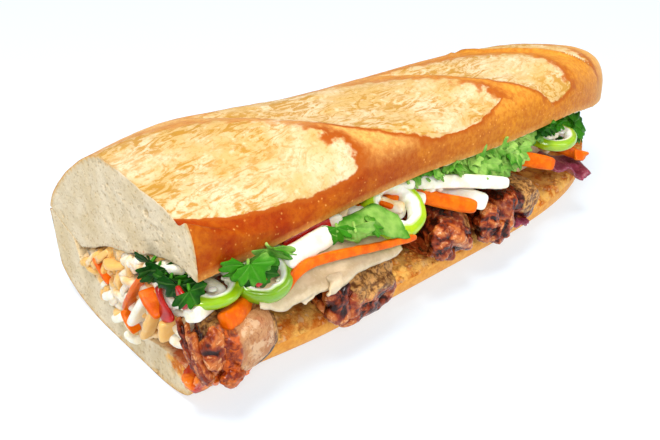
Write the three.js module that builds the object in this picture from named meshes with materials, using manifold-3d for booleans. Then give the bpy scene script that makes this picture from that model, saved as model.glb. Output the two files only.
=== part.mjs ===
// Banh mi: half a baguette, split along its front and opened like a book, with grilled pork, pickled
// daikon and carrot, chilli slices and red cabbage. Millimetres. +X runs from the cut end to the loaf's
// tip, -Y is the open side, +Z is up, and z = 0 is the flat underside of the bottom half.
import * as THREE from "three";
import Module from "manifold-3d";

const wasm = await Module();
wasm.setup();

// ---------------------------------------------------------------- driving dimensions
const TOP_LENGTH = 205; // cut end to the tip of the top half
const BOTTOM_LENGTH = 200; // cut end to the tip of the bottom half
const HALF_WIDTH = 41; // of the top half
const BOTTOM_BACK = 42; // reach of the bottom half behind the middle
const BOTTOM_FRONT = 38; // and in front of it
const TAPER_START = 110; // where the loaf begins to narrow
const CUT_SLANT = Math.tan(THREE.MathUtils.degToRad(3.6)); // the knife's cut is a little off square
const GAP = 0.35; // between pieces that touch
const CROWN = 23.4; // height of the top half's crust above the line between its two edges
const BACK_ROUND = [[0, 1.35], [25, 1.75], [205, 1.75]]; // superellipse power of the back slope along x
const FRONT_ROUND = 3.0; // and of the steep front wall
const UNDER_CUT = 0.4; // taken off the rounded underside, which leaves a true flat
const BED_FRONT = -28; // front of the heap of pickles
const BED_LEDGE = 28.8; // its underside where it lies over the pork
const BED_LOW = 17; // and past the last piece of pork
const PORK_BACK = -8; // how far back the pork reaches
const PORK_END = 130; // where the last piece of pork ends
const BED_BACK = 22.4; // and its back, against the fold
const BED_END = 178; // where the heap ends inside the tip

// Heights along the loaf as [x, z] pairs.
const FRONT_EDGE = [
  [0, 40], [18, 40.6], [38, 42], [70, 43], [100, 41.6], [145, 40.5], [165, 37], [192, 27], [205, 24],
];
const CROWN_SCALE = [
  [0, 1], [22, 1.06], [40, 1], [67, 0.9], [110, 0.92], [163, 0.93], [186, 0.83], [199, 0.62], [205, 0.3],
];
// Section of the cavity as [y, value] pairs: the share of the opening's height reached by the top half's
// underside, and the height of the bottom half's inner face.
const UNDER_SHARE = [[-41, 1], [-29, 1], [-19, 0.85], [-7, 0.6], [3, 0.45], [13, 0.2], [22, 0]];
const INNER = [
  [-37.6, 9.2], [-36, 11], [-29, 11.7], [-21.5, 10.8], [0, 12], [10, 12.8], [16, 15.2], [23.5, 15.8],
];
const FOLD_Y = 22; // where the two halves meet behind the filling

// Score openings in the crust: centre x and y, half length, half width, turn in degrees, depth.
const BLOOMS = [
  [5, -17, 50, 22, -28, 5],
  [68, -15, 47, 22, -28, 4],
  [118, -14, 37, 17, -38, 3.2],
  [158, -5, 28, 12, -38, 2.4],
];

// ---------------------------------------------------------------- small helpers
const clamp01 = (t) => Math.min(1, Math.max(0, t));
const smooth = (t) => clamp01(t) ** 2 * (3 - 2 * clamp01(t));
const mix = (a, b, t) => a + (b - a) * t;
const V = (x, y, z) => new THREE.Vector3(x, y, z);

// Smooth value of a short table of pairs.
function along(table, x) {
  if (x <= table[0][0]) return table[0][1];
  const last = table.length - 1;
  if (x >= table[last][0]) return table[last][1];
  let i = 0;
  while (x > table[i + 1][0]) i += 1;
  const slope = (j) => {
    const lo = table[Math.max(0, j - 1)];
    const hi = table[Math.min(last, j + 1)];
    return (hi[1] - lo[1]) / (hi[0] - lo[0]);
  };
  const width = table[i + 1][0] - table[i][0];
  const t = (x - table[i][0]) / width;
  const a = table[i][1];
  const b = table[i + 1][1];
  const h1 = t * t * (3 - 2 * t);
  return a + (b - a) * h1 + width * (slope(i) * t * (1 - t) ** 2 - slope(i + 1) * t * t * (1 - t));
}

// Gentle unevenness, about -1 to 1.
function wobble(a, b, seed) {
  return (
    0.5 * Math.sin(a * 1.7 + seed * 2.1 + 1.3 * Math.sin(b * 1.1 + seed)) +
    0.3 * Math.sin(b * 2.3 + seed * 3.7 + a * 0.9) +
    0.2 * Math.sin(a * 3.9 - b * 3.1 + seed * 5.3)
  );
}

// Triangles of a flat end: its ring is one side, split points long, and the other side coming back.
function zip(ring, split) {
  const away = ring.slice(0, split).map((p, i) => i);
  const back = ring.slice(split).map((p, i) => ring.length - 1 - i);
  const axis = ring[split - 1].clone().sub(ring[0]);
  const reach = (i) => ring[i].dot(axis);
  const faces = [];
  let i = 0;
  let j = 0;
  while (i < away.length - 1 || j < back.length - 1) {
    const first = j === back.length - 1 || (i < away.length - 1 && reach(away[i + 1]) <= reach(back[j + 1]));
    if (first) {
      faces.push([away[i], away[i + 1], back[j]]);
      i += 1;
    } else {
      faces.push([away[i], back[j + 1], back[j]]);
      j += 1;
    }
  }
  return faces;
}

// Closed skin over rings of points: capped at both ends, or looped end to start.
function skin(rings, { looped = false, split = rings[0].length / 2 } = {}) {
  const columns = rings[0].length;
  const vertices = rings.flat().flatMap((p) => [p.x, p.y, p.z]);
  const triangles = [];
  const rows = looped ? rings.length : rings.length - 1;
  for (let i = 0; i < rows; i += 1) {
    for (let j = 0; j < columns; j += 1) {
      const next = ((i + 1) % rings.length) * columns;
      const a = i * columns + j;
      const b = i * columns + ((j + 1) % columns);
      const c = next + ((j + 1) % columns);
      const d = next + j;
      triangles.push(a, b, d, b, c, d);
    }
  }
  if (!looped) {
    for (const end of [0, rings.length - 1]) {
      const base = end * columns;
      for (const [p, q, r] of zip(rings[end], split)) {
        if (end === 0) triangles.push(base + p, base + r, base + q);
        else triangles.push(base + p, base + q, base + r);
      }
    }
  }
  return solid(vertices, triangles);
}

function solid(vertices, triangles) {
  const make = (tris) =>
    new wasm.Manifold(
      new wasm.Mesh({
        numProp: 3,
        vertProperties: new Float32Array(vertices),
        triVerts: new Uint32Array(tris),
      }),
    );
  const made = make(triangles);
  if (made.volume() > 0) return made;
  const turned = [];
  for (let i = 0; i < triangles.length; i += 3) {
    turned.push(triangles[i], triangles[i + 2], triangles[i + 1]);
  }
  return make(turned);
}

// The same solid, moved out by a distance along its corner normals.
function grown(piece, distance) {
  const mesh = piece.getMesh();
  const geometry = new THREE.BufferGeometry();
  geometry.setAttribute("position", new THREE.BufferAttribute(new Float32Array(mesh.vertProperties), 3));
  geometry.setIndex(Array.from(mesh.triVerts));
  geometry.computeVertexNormals();
  const position = geometry.getAttribute("position");
  const normal = geometry.getAttribute("normal");
  const vertices = [];
  for (let i = 0; i < position.count; i += 1) {
    vertices.push(position.getX(i) + distance * normal.getX(i));
    vertices.push(position.getY(i) + distance * normal.getY(i));
    vertices.push(position.getZ(i) + distance * normal.getZ(i));
  }
  return solid(vertices, Array.from(mesh.triVerts));
}

// ---------------------------------------------------------------- the loaf
function taper(x, length) {
  const t = clamp01((x - TAPER_START) / (length - TAPER_START));
  return (1 - t ** 2.4) ** (1 / 2.1);
}

const slant = (x, y) => x + CUT_SLANT * y * (1 - smooth(x / 60));
const hinge = (x) => 27 - 5 * smooth(x / 190); // height of the fold at the back
const foldLow = (x) => 21.6 - 4.6 * smooth(x / 190); // lowest line of the top half, behind the filling
const frontEdge = (x) => along(FRONT_EDGE, x);

// Where the halves meet behind the filling.
function seam(x, yn) {
  return foldLow(x) + ((yn - FOLD_Y) * (hinge(x) - 0.3 - foldLow(x))) / 18;
}

function underside(x, yn) {
  if (yn > FOLD_Y) return seam(x, yn);
  return mix(foldLow(x), frontEdge(x), along(UNDER_SHARE, yn));
}

function bloomDepth(x, y) {
  let depth = 0;
  for (const [cx, cy, long, wide, turn, deep] of BLOOMS) {
    const a = THREE.MathUtils.degToRad(turn);
    const u = ((x - cx) * Math.cos(a) + (y - cy) * Math.sin(a)) / long;
    const v = (-(x - cx) * Math.sin(a) + (y - cy) * Math.cos(a)) / wide;
    const edge = 1 - u * u; // a lens: pointed at both ends
    if (edge > 0.02 && Math.abs(v) < edge) {
      const w = v / edge;
      depth = Math.max(depth, deep * Math.sqrt(edge) * smooth((w + 1) / 0.45) * smooth((1 - w) / 1.3));
    }
  }
  return depth;
}

function crust(x, yn) {
  const power = yn > 0 ? along(BACK_ROUND, x) : FRONT_ROUND;
  const share = Math.max(0, 1 - Math.abs(yn / HALF_WIDTH) ** power) ** (1 / power);
  const chord = mix(frontEdge(x), hinge(x), (yn + HALF_WIDTH) / (2 * HALF_WIDTH));
  return chord + CROWN * along(CROWN_SCALE, x) * share - bloomDepth(x, yn * taper(x, TOP_LENGTH));
}

function topRing(x) {
  const k = taper(x, TOP_LENGTH);
  const ring = [];
  const outer = 24;
  for (let i = 0; i <= outer; i += 1) {
    const yn = HALF_WIDTH * Math.cos((Math.PI * i) / outer);
    ring.push([yn, crust(x, yn)]);
  }
  ring[0][1] = hinge(x) + 0.4;
  const inner = 9;
  for (let i = 0; i <= inner; i += 1) {
    const yn = mix(-HALF_WIDTH + 0.8, HALF_WIDTH - 1, i / inner);
    ring.push([yn, underside(x, yn) - (i === 0 ? 0.5 : 0)]);
  }
  return ring.map(([yn, z]) => V(slant(x, yn * k), yn * k, z));
}

function inner(x, yn) {
  const floor = along(INNER, yn) + 6 * smooth((x - 165) / 35) * smooth((14 - yn) / 20);
  const lap = underside(x, yn) - GAP - 0.15 - 1.6 * smooth((x - 180) / 16);
  return mix(Math.min(floor, lap - 1), lap, smooth((yn - 23.5) / 4));
}

function outerBottom(x, yn) {
  const back = yn > 0;
  const reach = back ? BOTTOM_BACK : BOTTOM_FRONT;
  const power = back ? 2.6 : 3.2;
  const side = back ? 17 : 9;
  const rise = side * (1 - Math.max(0, 1 - Math.abs(yn / reach) ** power) ** (1 / power));
  const t = clamp01((x - 160) / (BOTTOM_LENGTH - 160));
  const nose = 12 * (1 - Math.sqrt(1 - t ** 2.4));
  return nose + Math.max(0, rise - UNDER_CUT) * (1 - nose / 15);
}

function bottomRing(x) {
  const k = taper(x, BOTTOM_LENGTH);
  const ring = [];
  const over = 12;
  for (let i = 0; i <= over; i += 1) {
    const yn = mix(BOTTOM_BACK - 1.6, -BOTTOM_FRONT + 0.6, i / over);
    ring.push([yn, inner(x, (yn * k) / taper(x, TOP_LENGTH))]);
  }
  const under = 14;
  for (let i = 0; i <= under; i += 1) {
    const a = (Math.PI * i) / under;
    const yn = Math.cos(a) < 0 ? BOTTOM_BACK * -Math.cos(a) : BOTTOM_FRONT * -Math.cos(a);
    ring.push([yn, outerBottom(x, yn)]);
  }
  const lip = 1 - 0.11 * (1 - smooth(x / 45)); // the lip steps back a little towards the cut
  return ring.map(([yn, z]) => {
    const y = yn * k * (yn < 0 ? lip : 1);
    return V(slant(x, y), y, z);
  });
}

// Stations along a half: even, then closer together round the tip.
function stations(length) {
  const list = [];
  for (let i = 0; i < 24; i += 1) list.push((i * (length - 25)) / 24);
  for (let i = 0; i <= 6; i += 1) list.push(length - 25 + 24.8 * Math.sin((Math.PI * i) / 12));
  return list;
}

// ---------------------------------------------------------------- the filling's shapes
// A lump of meat lying across the loaf, with its blunt front end over the lip.
function lump({ x, z, wide, high, back, front, droop, lean, seed }) {
  const rings = [];
  const rows = 8;
  const columns = 13;
  for (let i = 0; i <= rows; i += 1) {
    const t = mix(0.02, 0.985, i / rows);
    const y = mix(back, front, 0.5 - 0.5 * Math.cos(Math.PI * t));
    const along01 = (y - back) / (front - back);
    const size = (1 - Math.abs(2 * along01 - 1) ** 7) ** (1 / 2.6);
    const ring = [];
    for (let j = 0; j < columns; j += 1) {
      const a = (2 * Math.PI * j) / columns;
      const rough = 1 + 0.09 * wobble(a * 1.0 + 1, along01 * 5, seed) * (1 + Math.cos(a) * 0.2);
      const sx = Math.sign(Math.cos(a)) * Math.abs(Math.cos(a)) ** 0.82;
      const sz = Math.sign(Math.sin(a)) * Math.abs(Math.sin(a)) ** 0.82;
      const px = x + lean * along01 + wide * size * rough * sx;
      const pz = z - droop * along01 ** 2 + high * size * rough * sz;
      ring.push(V(px, y + 0.8 * wobble(a, 3, seed + 2) * along01, pz));
    }
    rings.push(ring);
  }
  return skin(rings, { split: 7 });
}

// A strip cut from a vegetable: a rounded bar along a bent path.
function stick({ path, wide, thick, up = V(0, 0.35, 1), seed = 1, rows = 7 }) {
  const curve = new THREE.CatmullRomCurve3(path);
  const rings = [];
  for (let i = 0; i <= rows; i += 1) {
    const t = i / rows;
    const p = curve.getPointAt(t);
    const tangent = curve.getTangentAt(t);
    const side = V(0, 0, 0).crossVectors(tangent, up).normalize();
    const rise = V(0, 0, 0).crossVectors(side, tangent).normalize();
    const end = i === 0 || i === rows ? 0.72 : 1;
    const w = (wide / 2) * end * (1 + 0.1 * wobble(t * 5, 1, seed));
    const h = (thick / 2) * end * (1 + 0.1 * wobble(t * 4, 2, seed + 1));
    const corner = 0.62;
    const outline = [
      [1, corner], [corner, 1], [-corner, 1], [-1, corner],
      [-1, -corner], [-corner, -1], [corner, -1], [1, -corner],
    ];
    rings.push(outline.map(([b, c]) => p.clone().addScaledVector(rise, w * b).addScaledVector(side, h * c)));
  }
  return skin(rings);
}

// A slice across a chilli: a short, slightly squashed tube.
function ring({ centre, normal, radius, wall, deep, squash = 0.9, seed = 1 }) {
  const n = normal.clone().normalize();
  const a = V(0, 0, 0).crossVectors(V(0, 0, 1), n).normalize();
  const b = V(0, 0, 0).crossVectors(n, a);
  const rings = [];
  const count = 20;
  for (let i = 0; i < count; i += 1) {
    const angle = (2 * Math.PI * i) / count;
    const r = radius * (1 + 0.05 * wobble(angle, 2, seed));
    const edge = 0.8;
    const section = [
      [0, -0.5 + edge / deep], [0, 0.5 - edge / deep], [edge, 0.5],
      [wall, 0.42], [wall, -0.42], [edge, -0.5],
    ];
    const out = a.clone().multiplyScalar(Math.cos(angle)).addScaledVector(b, squash * Math.sin(angle));
    rings.push(
      section.map(([inwards, depth]) =>
        centre.clone().addScaledVector(out, r - inwards).addScaledVector(n, depth * deep),
      ),
    );
  }
  return skin(rings, { looped: true });
}

// A thin curved slice or leaf: lines across it, each from its front edge to its back edge.
function sheet({ front, back, thick, ripple, waves, seed = 1 }) {
  const frontCurve = new THREE.CatmullRomCurve3(front);
  const backCurve = new THREE.CatmullRomCurve3(back);
  const rings = [];
  const rows = 10;
  const across = 4;
  for (let i = 0; i <= rows; i += 1) {
    const t = i / rows;
    const f = frontCurve.getPointAt(t);
    const b = backCurve.getPointAt(t);
    const upper = [];
    const lower = [];
    for (let j = 0; j <= across; j += 1) {
      const s = j / across;
      const p = f.clone().lerp(b, s);
      p.z += ripple * Math.sin(waves * Math.PI * t + seed) * (1 - 0.5 * s);
      const half = (thick / 2) * (j === 0 || j === across ? 0.55 : 1);
      upper.push(V(p.x, p.y, p.z + half));
      lower.unshift(V(p.x, p.y, p.z - half));
    }
    rings.push([...upper, ...lower]);
  }
  return skin(rings);
}

// The heap of pickled sticks that fills the fold of the bread.
function heap() {
  const rings = [];
  const rows = 16;
  const back = [BED_BACK, 12, 2, PORK_BACK + 3];
  const front = [PORK_BACK + 1, -16, BED_FRONT];
  const room = GAP + 0.45;
  for (let i = 0; i <= rows; i += 1) {
    const x = mix(0.6, BED_END, i / rows);
    const k = Math.min(taper(x, TOP_LENGTH), taper(x, BOTTOM_LENGTH));
    const closing = 1 - 0.5 * smooth((x - 150) / 28);
    const ring = [];
    const point = (yn, z) => {
      const bulge = i === 0 ? 0.9 * wobble(yn * 0.35, z * 0.4, 3) : 0;
      ring.push(V(slant(x, yn * k) + bulge, yn * k, z));
    };
    for (const yn of [...back, ...front]) {
      const low = inner(x, yn) + room;
      point(yn, mix(low, underside(x, yn) - room, yn > 0 ? 1 : closing));
    }
    for (const yn of front.slice().reverse()) {
      const high = mix(inner(x, yn) + room, underside(x, yn) - room, closing);
      const ledge = mix(BED_LEDGE + 0.6 * wobble(x * 0.1, yn, 2), BED_LOW, smooth((x - PORK_END) / 8));
      point(yn, Math.min(ledge, high - 2));
    }
    for (const yn of back.slice().reverse()) point(yn, inner(x, yn) + room);
    rings.push(ring);
  }
  return skin(rings, { split: 7 });
}

// ---------------------------------------------------------------- the pieces
const bottom = skin(stations(BOTTOM_LENGTH).map(bottomRing), { split: 13 });
const top = skin(stations(TOP_LENGTH).map(topRing), { split: 25 });

const PORK = [
  { x: 7.6, z: 18.4, wide: 10.8, high: 9.3, back: -8, front: -46.3, droop: 1, lean: 0, seed: 1 },
  { x: 47.5, z: 18.2, wide: 13, high: 8.6, back: -9, front: -47.5, droop: 3, lean: -2, seed: 2.2 },
  { x: 80, z: 18.8, wide: 10.8, high: 8, back: -9, front: -47, droop: 1.4, lean: -2, seed: 3.1 },
  { x: 114.5, z: 19, wide: 14, high: 8, back: -10, front: -46.5, droop: 0.6, lean: -2, seed: 4.4 },
];

const JALAPENO = [
  { centre: V(5.5, -31, 33.2), normal: V(-0.1, -0.25, 1), radius: 8.5, wall: 2.6, deep: 3.2, seed: 1 },
  {
    centre: V(16.5, -39.5, 32.6), normal: V(-0.35, -0.75, 0.6),
    radius: 6.9, wall: 2, deep: 3.6, seed: 2,
  },
  { centre: V(58.5, -39, 35.8), normal: V(0.15, -0.66, 0.72), radius: 9.2, wall: 2.6, deep: 6, seed: 3 },
  { centre: V(139.5, -35.5, 34), normal: V(0.02, -0.2, 1), radius: 9.2, wall: 2.4, deep: 3.4, seed: 4 },
];

const CARROT = [
  { path: [V(2, -42.5, 28), V(8, -41, 28.2), V(16, -36, 28)], wide: 4.4, thick: 3.6, seed: 1 },
  {
    path: [V(22, -43.5, 30.8), V(30, -43.8, 33), V(46, -45.8, 29.4), V(64, -47.8, 26.8)],
    wide: 4.2, thick: 2.2, seed: 2,
  },
  {
    path: [V(70, -27, 34.6), V(76, -37, 33.2), V(82, -42, 31.2), V(88, -47, 29.4)],
    wide: 4.2, thick: 3, seed: 3,
  },
  {
    path: [V(111, -26, 33.6), V(118, -37, 32.8), V(123, -42, 31.6), V(128, -46, 30)],
    wide: 4.4, thick: 3, seed: 4,
  },
  {
    path: [V(148, -19, 25), V(155, -30, 23.4), V(158, -35, 22), V(159.5, -39, 21)],
    wide: 3.6, thick: 2.6, seed: 5,
  },
];

const DAIKON = [
  { path: [V(-4.5, -39.5, 31.2), V(0, -37.5, 30.6), V(6, -34, 29)], wide: 4.2, thick: 4, seed: 6 },
  { path: [V(20.5, -43, 37.2), V(28, -42.5, 37.6), V(36, -41.6, 38)], wide: 3.6, thick: 2.6, seed: 7 },
  {
    path: [V(66, -26, 38), V(75, -37, 38), V(88, -41.5, 35.6), V(104, -46, 31.4)],
    wide: 3.4, thick: 2.2, seed: 8,
  },
  {
    path: [V(79, -26, 31), V(86, -35, 30.4), V(91, -41, 29.4), V(95.5, -45, 27.4)],
    wide: 4.6, thick: 2, seed: 9,
  },
];

const cutters = [];
const pieces = [];

// Adds a piece, cut back from everything already placed.
function place(name, made, color, roughness, clearFrom = cutters) {
  let shape = made;
  for (const cutter of clearFrom) shape = shape.subtract(cutter);
  const mesh = shape.getMesh();
  const geometry = new THREE.BufferGeometry();
  geometry.setAttribute("position", new THREE.BufferAttribute(new Float32Array(mesh.vertProperties), 3));
  geometry.setIndex(Array.from(mesh.triVerts));
  geometry.computeVertexNormals();
  const material = new THREE.MeshStandardMaterial({ color, roughness, metalness: 0 });
  const node = new THREE.Mesh(geometry, material);
  node.name = name;
  pieces.push(node);
  cutters.push(grown(shape, GAP + 0.2));
}

place("bread_bottom", bottom, 0xc98a3e, 0.75);
place("bread_top", top, 0xcf8d3a, 0.7, []);
PORK.forEach((spec, i) => place(`pork_${i + 1}`, lump(spec), 0x8a4a26, 0.45));
JALAPENO.forEach((spec, i) => place(`jalapeno_${i + 1}`, ring(spec), 0x7db32a, 0.3));
CARROT.forEach((spec, i) => place(`carrot_${i + 1}`, stick(spec), 0xf0821e, 0.4));
DAIKON.forEach((spec, i) => place(`daikon_${i + 1}`, stick(spec), 0xf2efe2, 0.35));
place(
  "daikon_slice",
  sheet({
    front: [V(16, -43, 28.4), V(27, -42.6, 28.2), V(42, -42.6, 26.8), V(60, -42.4, 25.4)],
    back: [V(20, -30, 29.5), V(30, -29, 30), V(44, -29, 29.6), V(58, -30, 28.6)],
    thick: 1.9,
    ripple: 0.5,
    waves: 4,
  }),
  0xe8dfc4,
  0.4,
);
place(
  "cabbage_1",
  sheet({
    front: [V(141, -36, 23), V(150, -40, 18.6), V(158.5, -43, 15)],
    back: [V(141, -19, 22.5), V(150, -20, 20.5), V(162, -33, 18)],
    thick: 1.6,
    ripple: 0.6,
    waves: 3,
    seed: 2,
  }),
  0x7a2440,
  0.45,
);
place("pickle_bed", heap(), 0xf3e3bd, 0.5);

const group = new THREE.Group();
for (const node of pieces) group.add(node);

// The origin goes to the middle of the whole sandwich's footprint, on the ground.
const box = new THREE.Box3().setFromObject(group);
const shift = V(-(box.min.x + box.max.x) / 2, -(box.min.y + box.max.y) / 2, -box.min.z);
for (const node of pieces) node.geometry.translate(shift.x, shift.y, shift.z);

export default group;
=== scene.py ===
import math
import random
import bpy
import numpy as np
from mathutils import Matrix, Vector


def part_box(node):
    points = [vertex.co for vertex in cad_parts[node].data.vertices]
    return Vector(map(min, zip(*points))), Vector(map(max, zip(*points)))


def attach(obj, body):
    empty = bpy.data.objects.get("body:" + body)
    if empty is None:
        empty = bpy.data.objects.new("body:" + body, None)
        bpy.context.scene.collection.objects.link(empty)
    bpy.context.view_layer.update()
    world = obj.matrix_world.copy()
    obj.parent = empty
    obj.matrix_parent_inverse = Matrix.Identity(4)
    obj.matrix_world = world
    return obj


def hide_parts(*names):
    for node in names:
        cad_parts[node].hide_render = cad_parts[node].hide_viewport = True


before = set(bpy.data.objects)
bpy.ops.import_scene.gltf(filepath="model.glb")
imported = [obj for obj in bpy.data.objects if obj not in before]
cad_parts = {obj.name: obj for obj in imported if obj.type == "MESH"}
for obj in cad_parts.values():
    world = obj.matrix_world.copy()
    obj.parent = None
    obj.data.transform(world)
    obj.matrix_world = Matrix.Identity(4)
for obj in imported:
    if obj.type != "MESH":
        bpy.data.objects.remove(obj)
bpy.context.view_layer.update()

# Loaf coordinates, in mm: x runs from the middle of the cut end to the tip, -y is the open side, z is up.
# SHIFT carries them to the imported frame.
TOP_LENGTH = 205.0
BOTTOM_LENGTH = 200.0
HALF_WIDTH = 41.0
BOTTOM_BACK = 42.0
BOTTOM_FRONT = 38.0
FOLD_Y = 22.0  # from here back the two halves nearly touch
TAPER_FROM = 110.0  # the loaf narrows from here to its tip
SHIFT = np.array([
    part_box("bread_top")[1].x * 1000 - (TOP_LENGTH - 0.2),
    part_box("bread_bottom")[1].y * 1000 - BOTTOM_BACK,
    0.0,
])


# ------------------------------------------------------------------ small maths
def smooth(t):
    t = np.clip(t, 0.0, 1.0)
    return t * t * (3 - 2 * t)


def mix(a, b, t):
    return a + (b - a) * t


def along(table, x):
    """Smooth value of a short table of pairs."""
    px = np.array([p[0] for p in table], float)
    pz = np.array([p[1] for p in table], float)
    x = np.clip(np.asarray(x, float), px[0], px[-1])
    i = np.clip(np.searchsorted(px, x, side="right") - 1, 0, len(px) - 2)
    lo = np.maximum(np.arange(len(px)) - 1, 0)
    hi = np.minimum(np.arange(len(px)) + 1, len(px) - 1)
    slope = (pz[hi] - pz[lo]) / (px[hi] - px[lo])
    w = px[i + 1] - px[i]
    t = (x - px[i]) / w
    h = t * t * (3 - 2 * t)
    bend = slope[i] * t * (1 - t) ** 2 - slope[i + 1] * t * t * (1 - t)
    return pz[i] + (pz[i + 1] - pz[i]) * h + w * bend


def surface(x, y, z):
    """A grid of points from three arrays that broadcast together."""
    return np.stack(np.broadcast_arrays(x, y, z), -1)


def out_and_back(there, back):
    """Rows that run along the first grid and return along the second."""
    return np.concatenate([there, back[:, ::-1]], axis=1)


def circle(count):
    """Angles once round, without the last."""
    return np.linspace(0, 2 * math.pi, count, endpoint=False)


def squarish(v, power):
    """A sine or cosine that stays longer near its ends, so that a round section turns square."""
    return np.sign(v) * np.abs(v) ** power


def hashed(ix, iy, iz, seed):
    """A repeatable number from 0 to 1 for each cell."""
    with np.errstate(over="ignore"):
        h = (ix.astype(np.uint32) * np.uint32(374761393) + iy.astype(np.uint32) * np.uint32(668265263)
             + iz.astype(np.uint32) * np.uint32(2246822519) + np.uint32(seed * 3266489 + 17))
        h = (h ^ (h >> np.uint32(13))) * np.uint32(1274126177)
        h = (h ^ (h >> np.uint32(16))) * np.uint32(2654435761)
        h = h ^ (h >> np.uint32(15))
    return h.astype(np.float64) / 4294967295.0


def vnoise(p, seed=0):
    """Smooth value noise, -1 to 1, at points in units of one cell."""
    base = np.floor(p)
    f = p - base
    f = f * f * (3 - 2 * f)
    i = base.astype(np.int64)
    total = 0.0
    for dx in (0, 1):
        for dy in (0, 1):
            for dz in (0, 1):
                w = ((f[..., 0] if dx else 1 - f[..., 0]) * (f[..., 1] if dy else 1 - f[..., 1])
                     * (f[..., 2] if dz else 1 - f[..., 2]))
                total = total + w * hashed(i[..., 0] + dx, i[..., 1] + dy, i[..., 2] + dz, seed)
    return total * 2 - 1


def fbm(p, seed=0, octaves=4, gain=0.5):
    """Value noise with finer noise added, about -1 to 1."""
    total = 0.0
    size = 1.0
    norm = 0.0
    for k in range(octaves):
        total = total + size * vnoise(p * 2.0 ** k + k * 7.3, seed + k)
        norm += size
        size *= gain
    return total / norm


def cells(p, seed=0):
    """Distance to the nearest scattered point, and that point's own random number."""
    base = np.floor(p).astype(np.int64)
    best = np.full(p.shape[:-1], 9.0)
    own = np.zeros(p.shape[:-1])
    for dx in (-1, 0, 1):
        for dy in (-1, 0, 1):
            for dz in (-1, 0, 1):
                c = base + np.array([dx, dy, dz])
                q = np.stack([c[..., k] + hashed(c[..., 0], c[..., 1], c[..., 2], seed + 11 * k + 1)
                              for k in range(3)], -1)
                d = np.linalg.norm(p - q, axis=-1)
                near = d < best
                best = np.where(near, d, best)
                own = np.where(near, hashed(c[..., 0], c[..., 1], c[..., 2], seed + 91), own)
    return best, own


def linear(r, g, b):
    """Linear colour of an 0-255 display colour."""
    return tuple(((c / 255) / 12.92 if c / 255 <= 0.04045 else ((c / 255 + 0.055) / 1.055) ** 2.4)
                 for c in (r, g, b))


# ------------------------------------------------------------------ meshes
def make_piece(name, vertices, faces, materials, indices=None, fields=None, nodes=()):
    """A finished piece from points in loaf mm, riding on the sandwich."""
    mesh = bpy.data.meshes.new(name)
    points = (np.asarray(vertices, float) + SHIFT) / 1000
    mesh.from_pydata(points.tolist(), [], faces)
    for m in materials:
        mesh.materials.append(m)
    if indices is not None:
        mesh.polygons.foreach_set("material_index", np.asarray(indices, np.int32))
    for key, values in (fields or {}).items():
        values = np.asarray(values, np.float32)
        if values.ndim == 1:
            mesh.attributes.new(key, "FLOAT", "POINT").data.foreach_set("value", values)
        else:
            mesh.attributes.new(key, "FLOAT_VECTOR", "POINT").data.foreach_set("vector", values.ravel())
    mesh.polygons.foreach_set("use_smooth", np.ones(len(mesh.polygons), bool))
    mesh.update()
    mesh.validate()
    piece = bpy.data.objects.new(name, mesh)
    bpy.context.scene.collection.objects.link(piece)
    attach(piece, "root")
    if nodes:
        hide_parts(*nodes)


def quads(rows, columns, wrap_rows=False, wrap_columns=False, start=0):
    """Faces of a grid of points, as an array."""
    i = np.arange(rows if wrap_rows else rows - 1)[:, None]
    j = np.arange(columns if wrap_columns else columns - 1)[None, :]
    a = i * columns + j
    b = i * columns + (j + 1) % columns
    c = ((i + 1) % rows) * columns + (j + 1) % columns
    d = ((i + 1) % rows) * columns + j
    return np.stack([a, d, c, b], -1).reshape(-1, 4) + start


def grid_normals(p):
    """Unit normals of a grid of points, turned whichever way the grid runs."""
    n = np.cross(np.gradient(p, axis=1), np.gradient(p, axis=0))
    return n / np.maximum(np.linalg.norm(n, axis=-1, keepdims=True), 1e-9)


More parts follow.
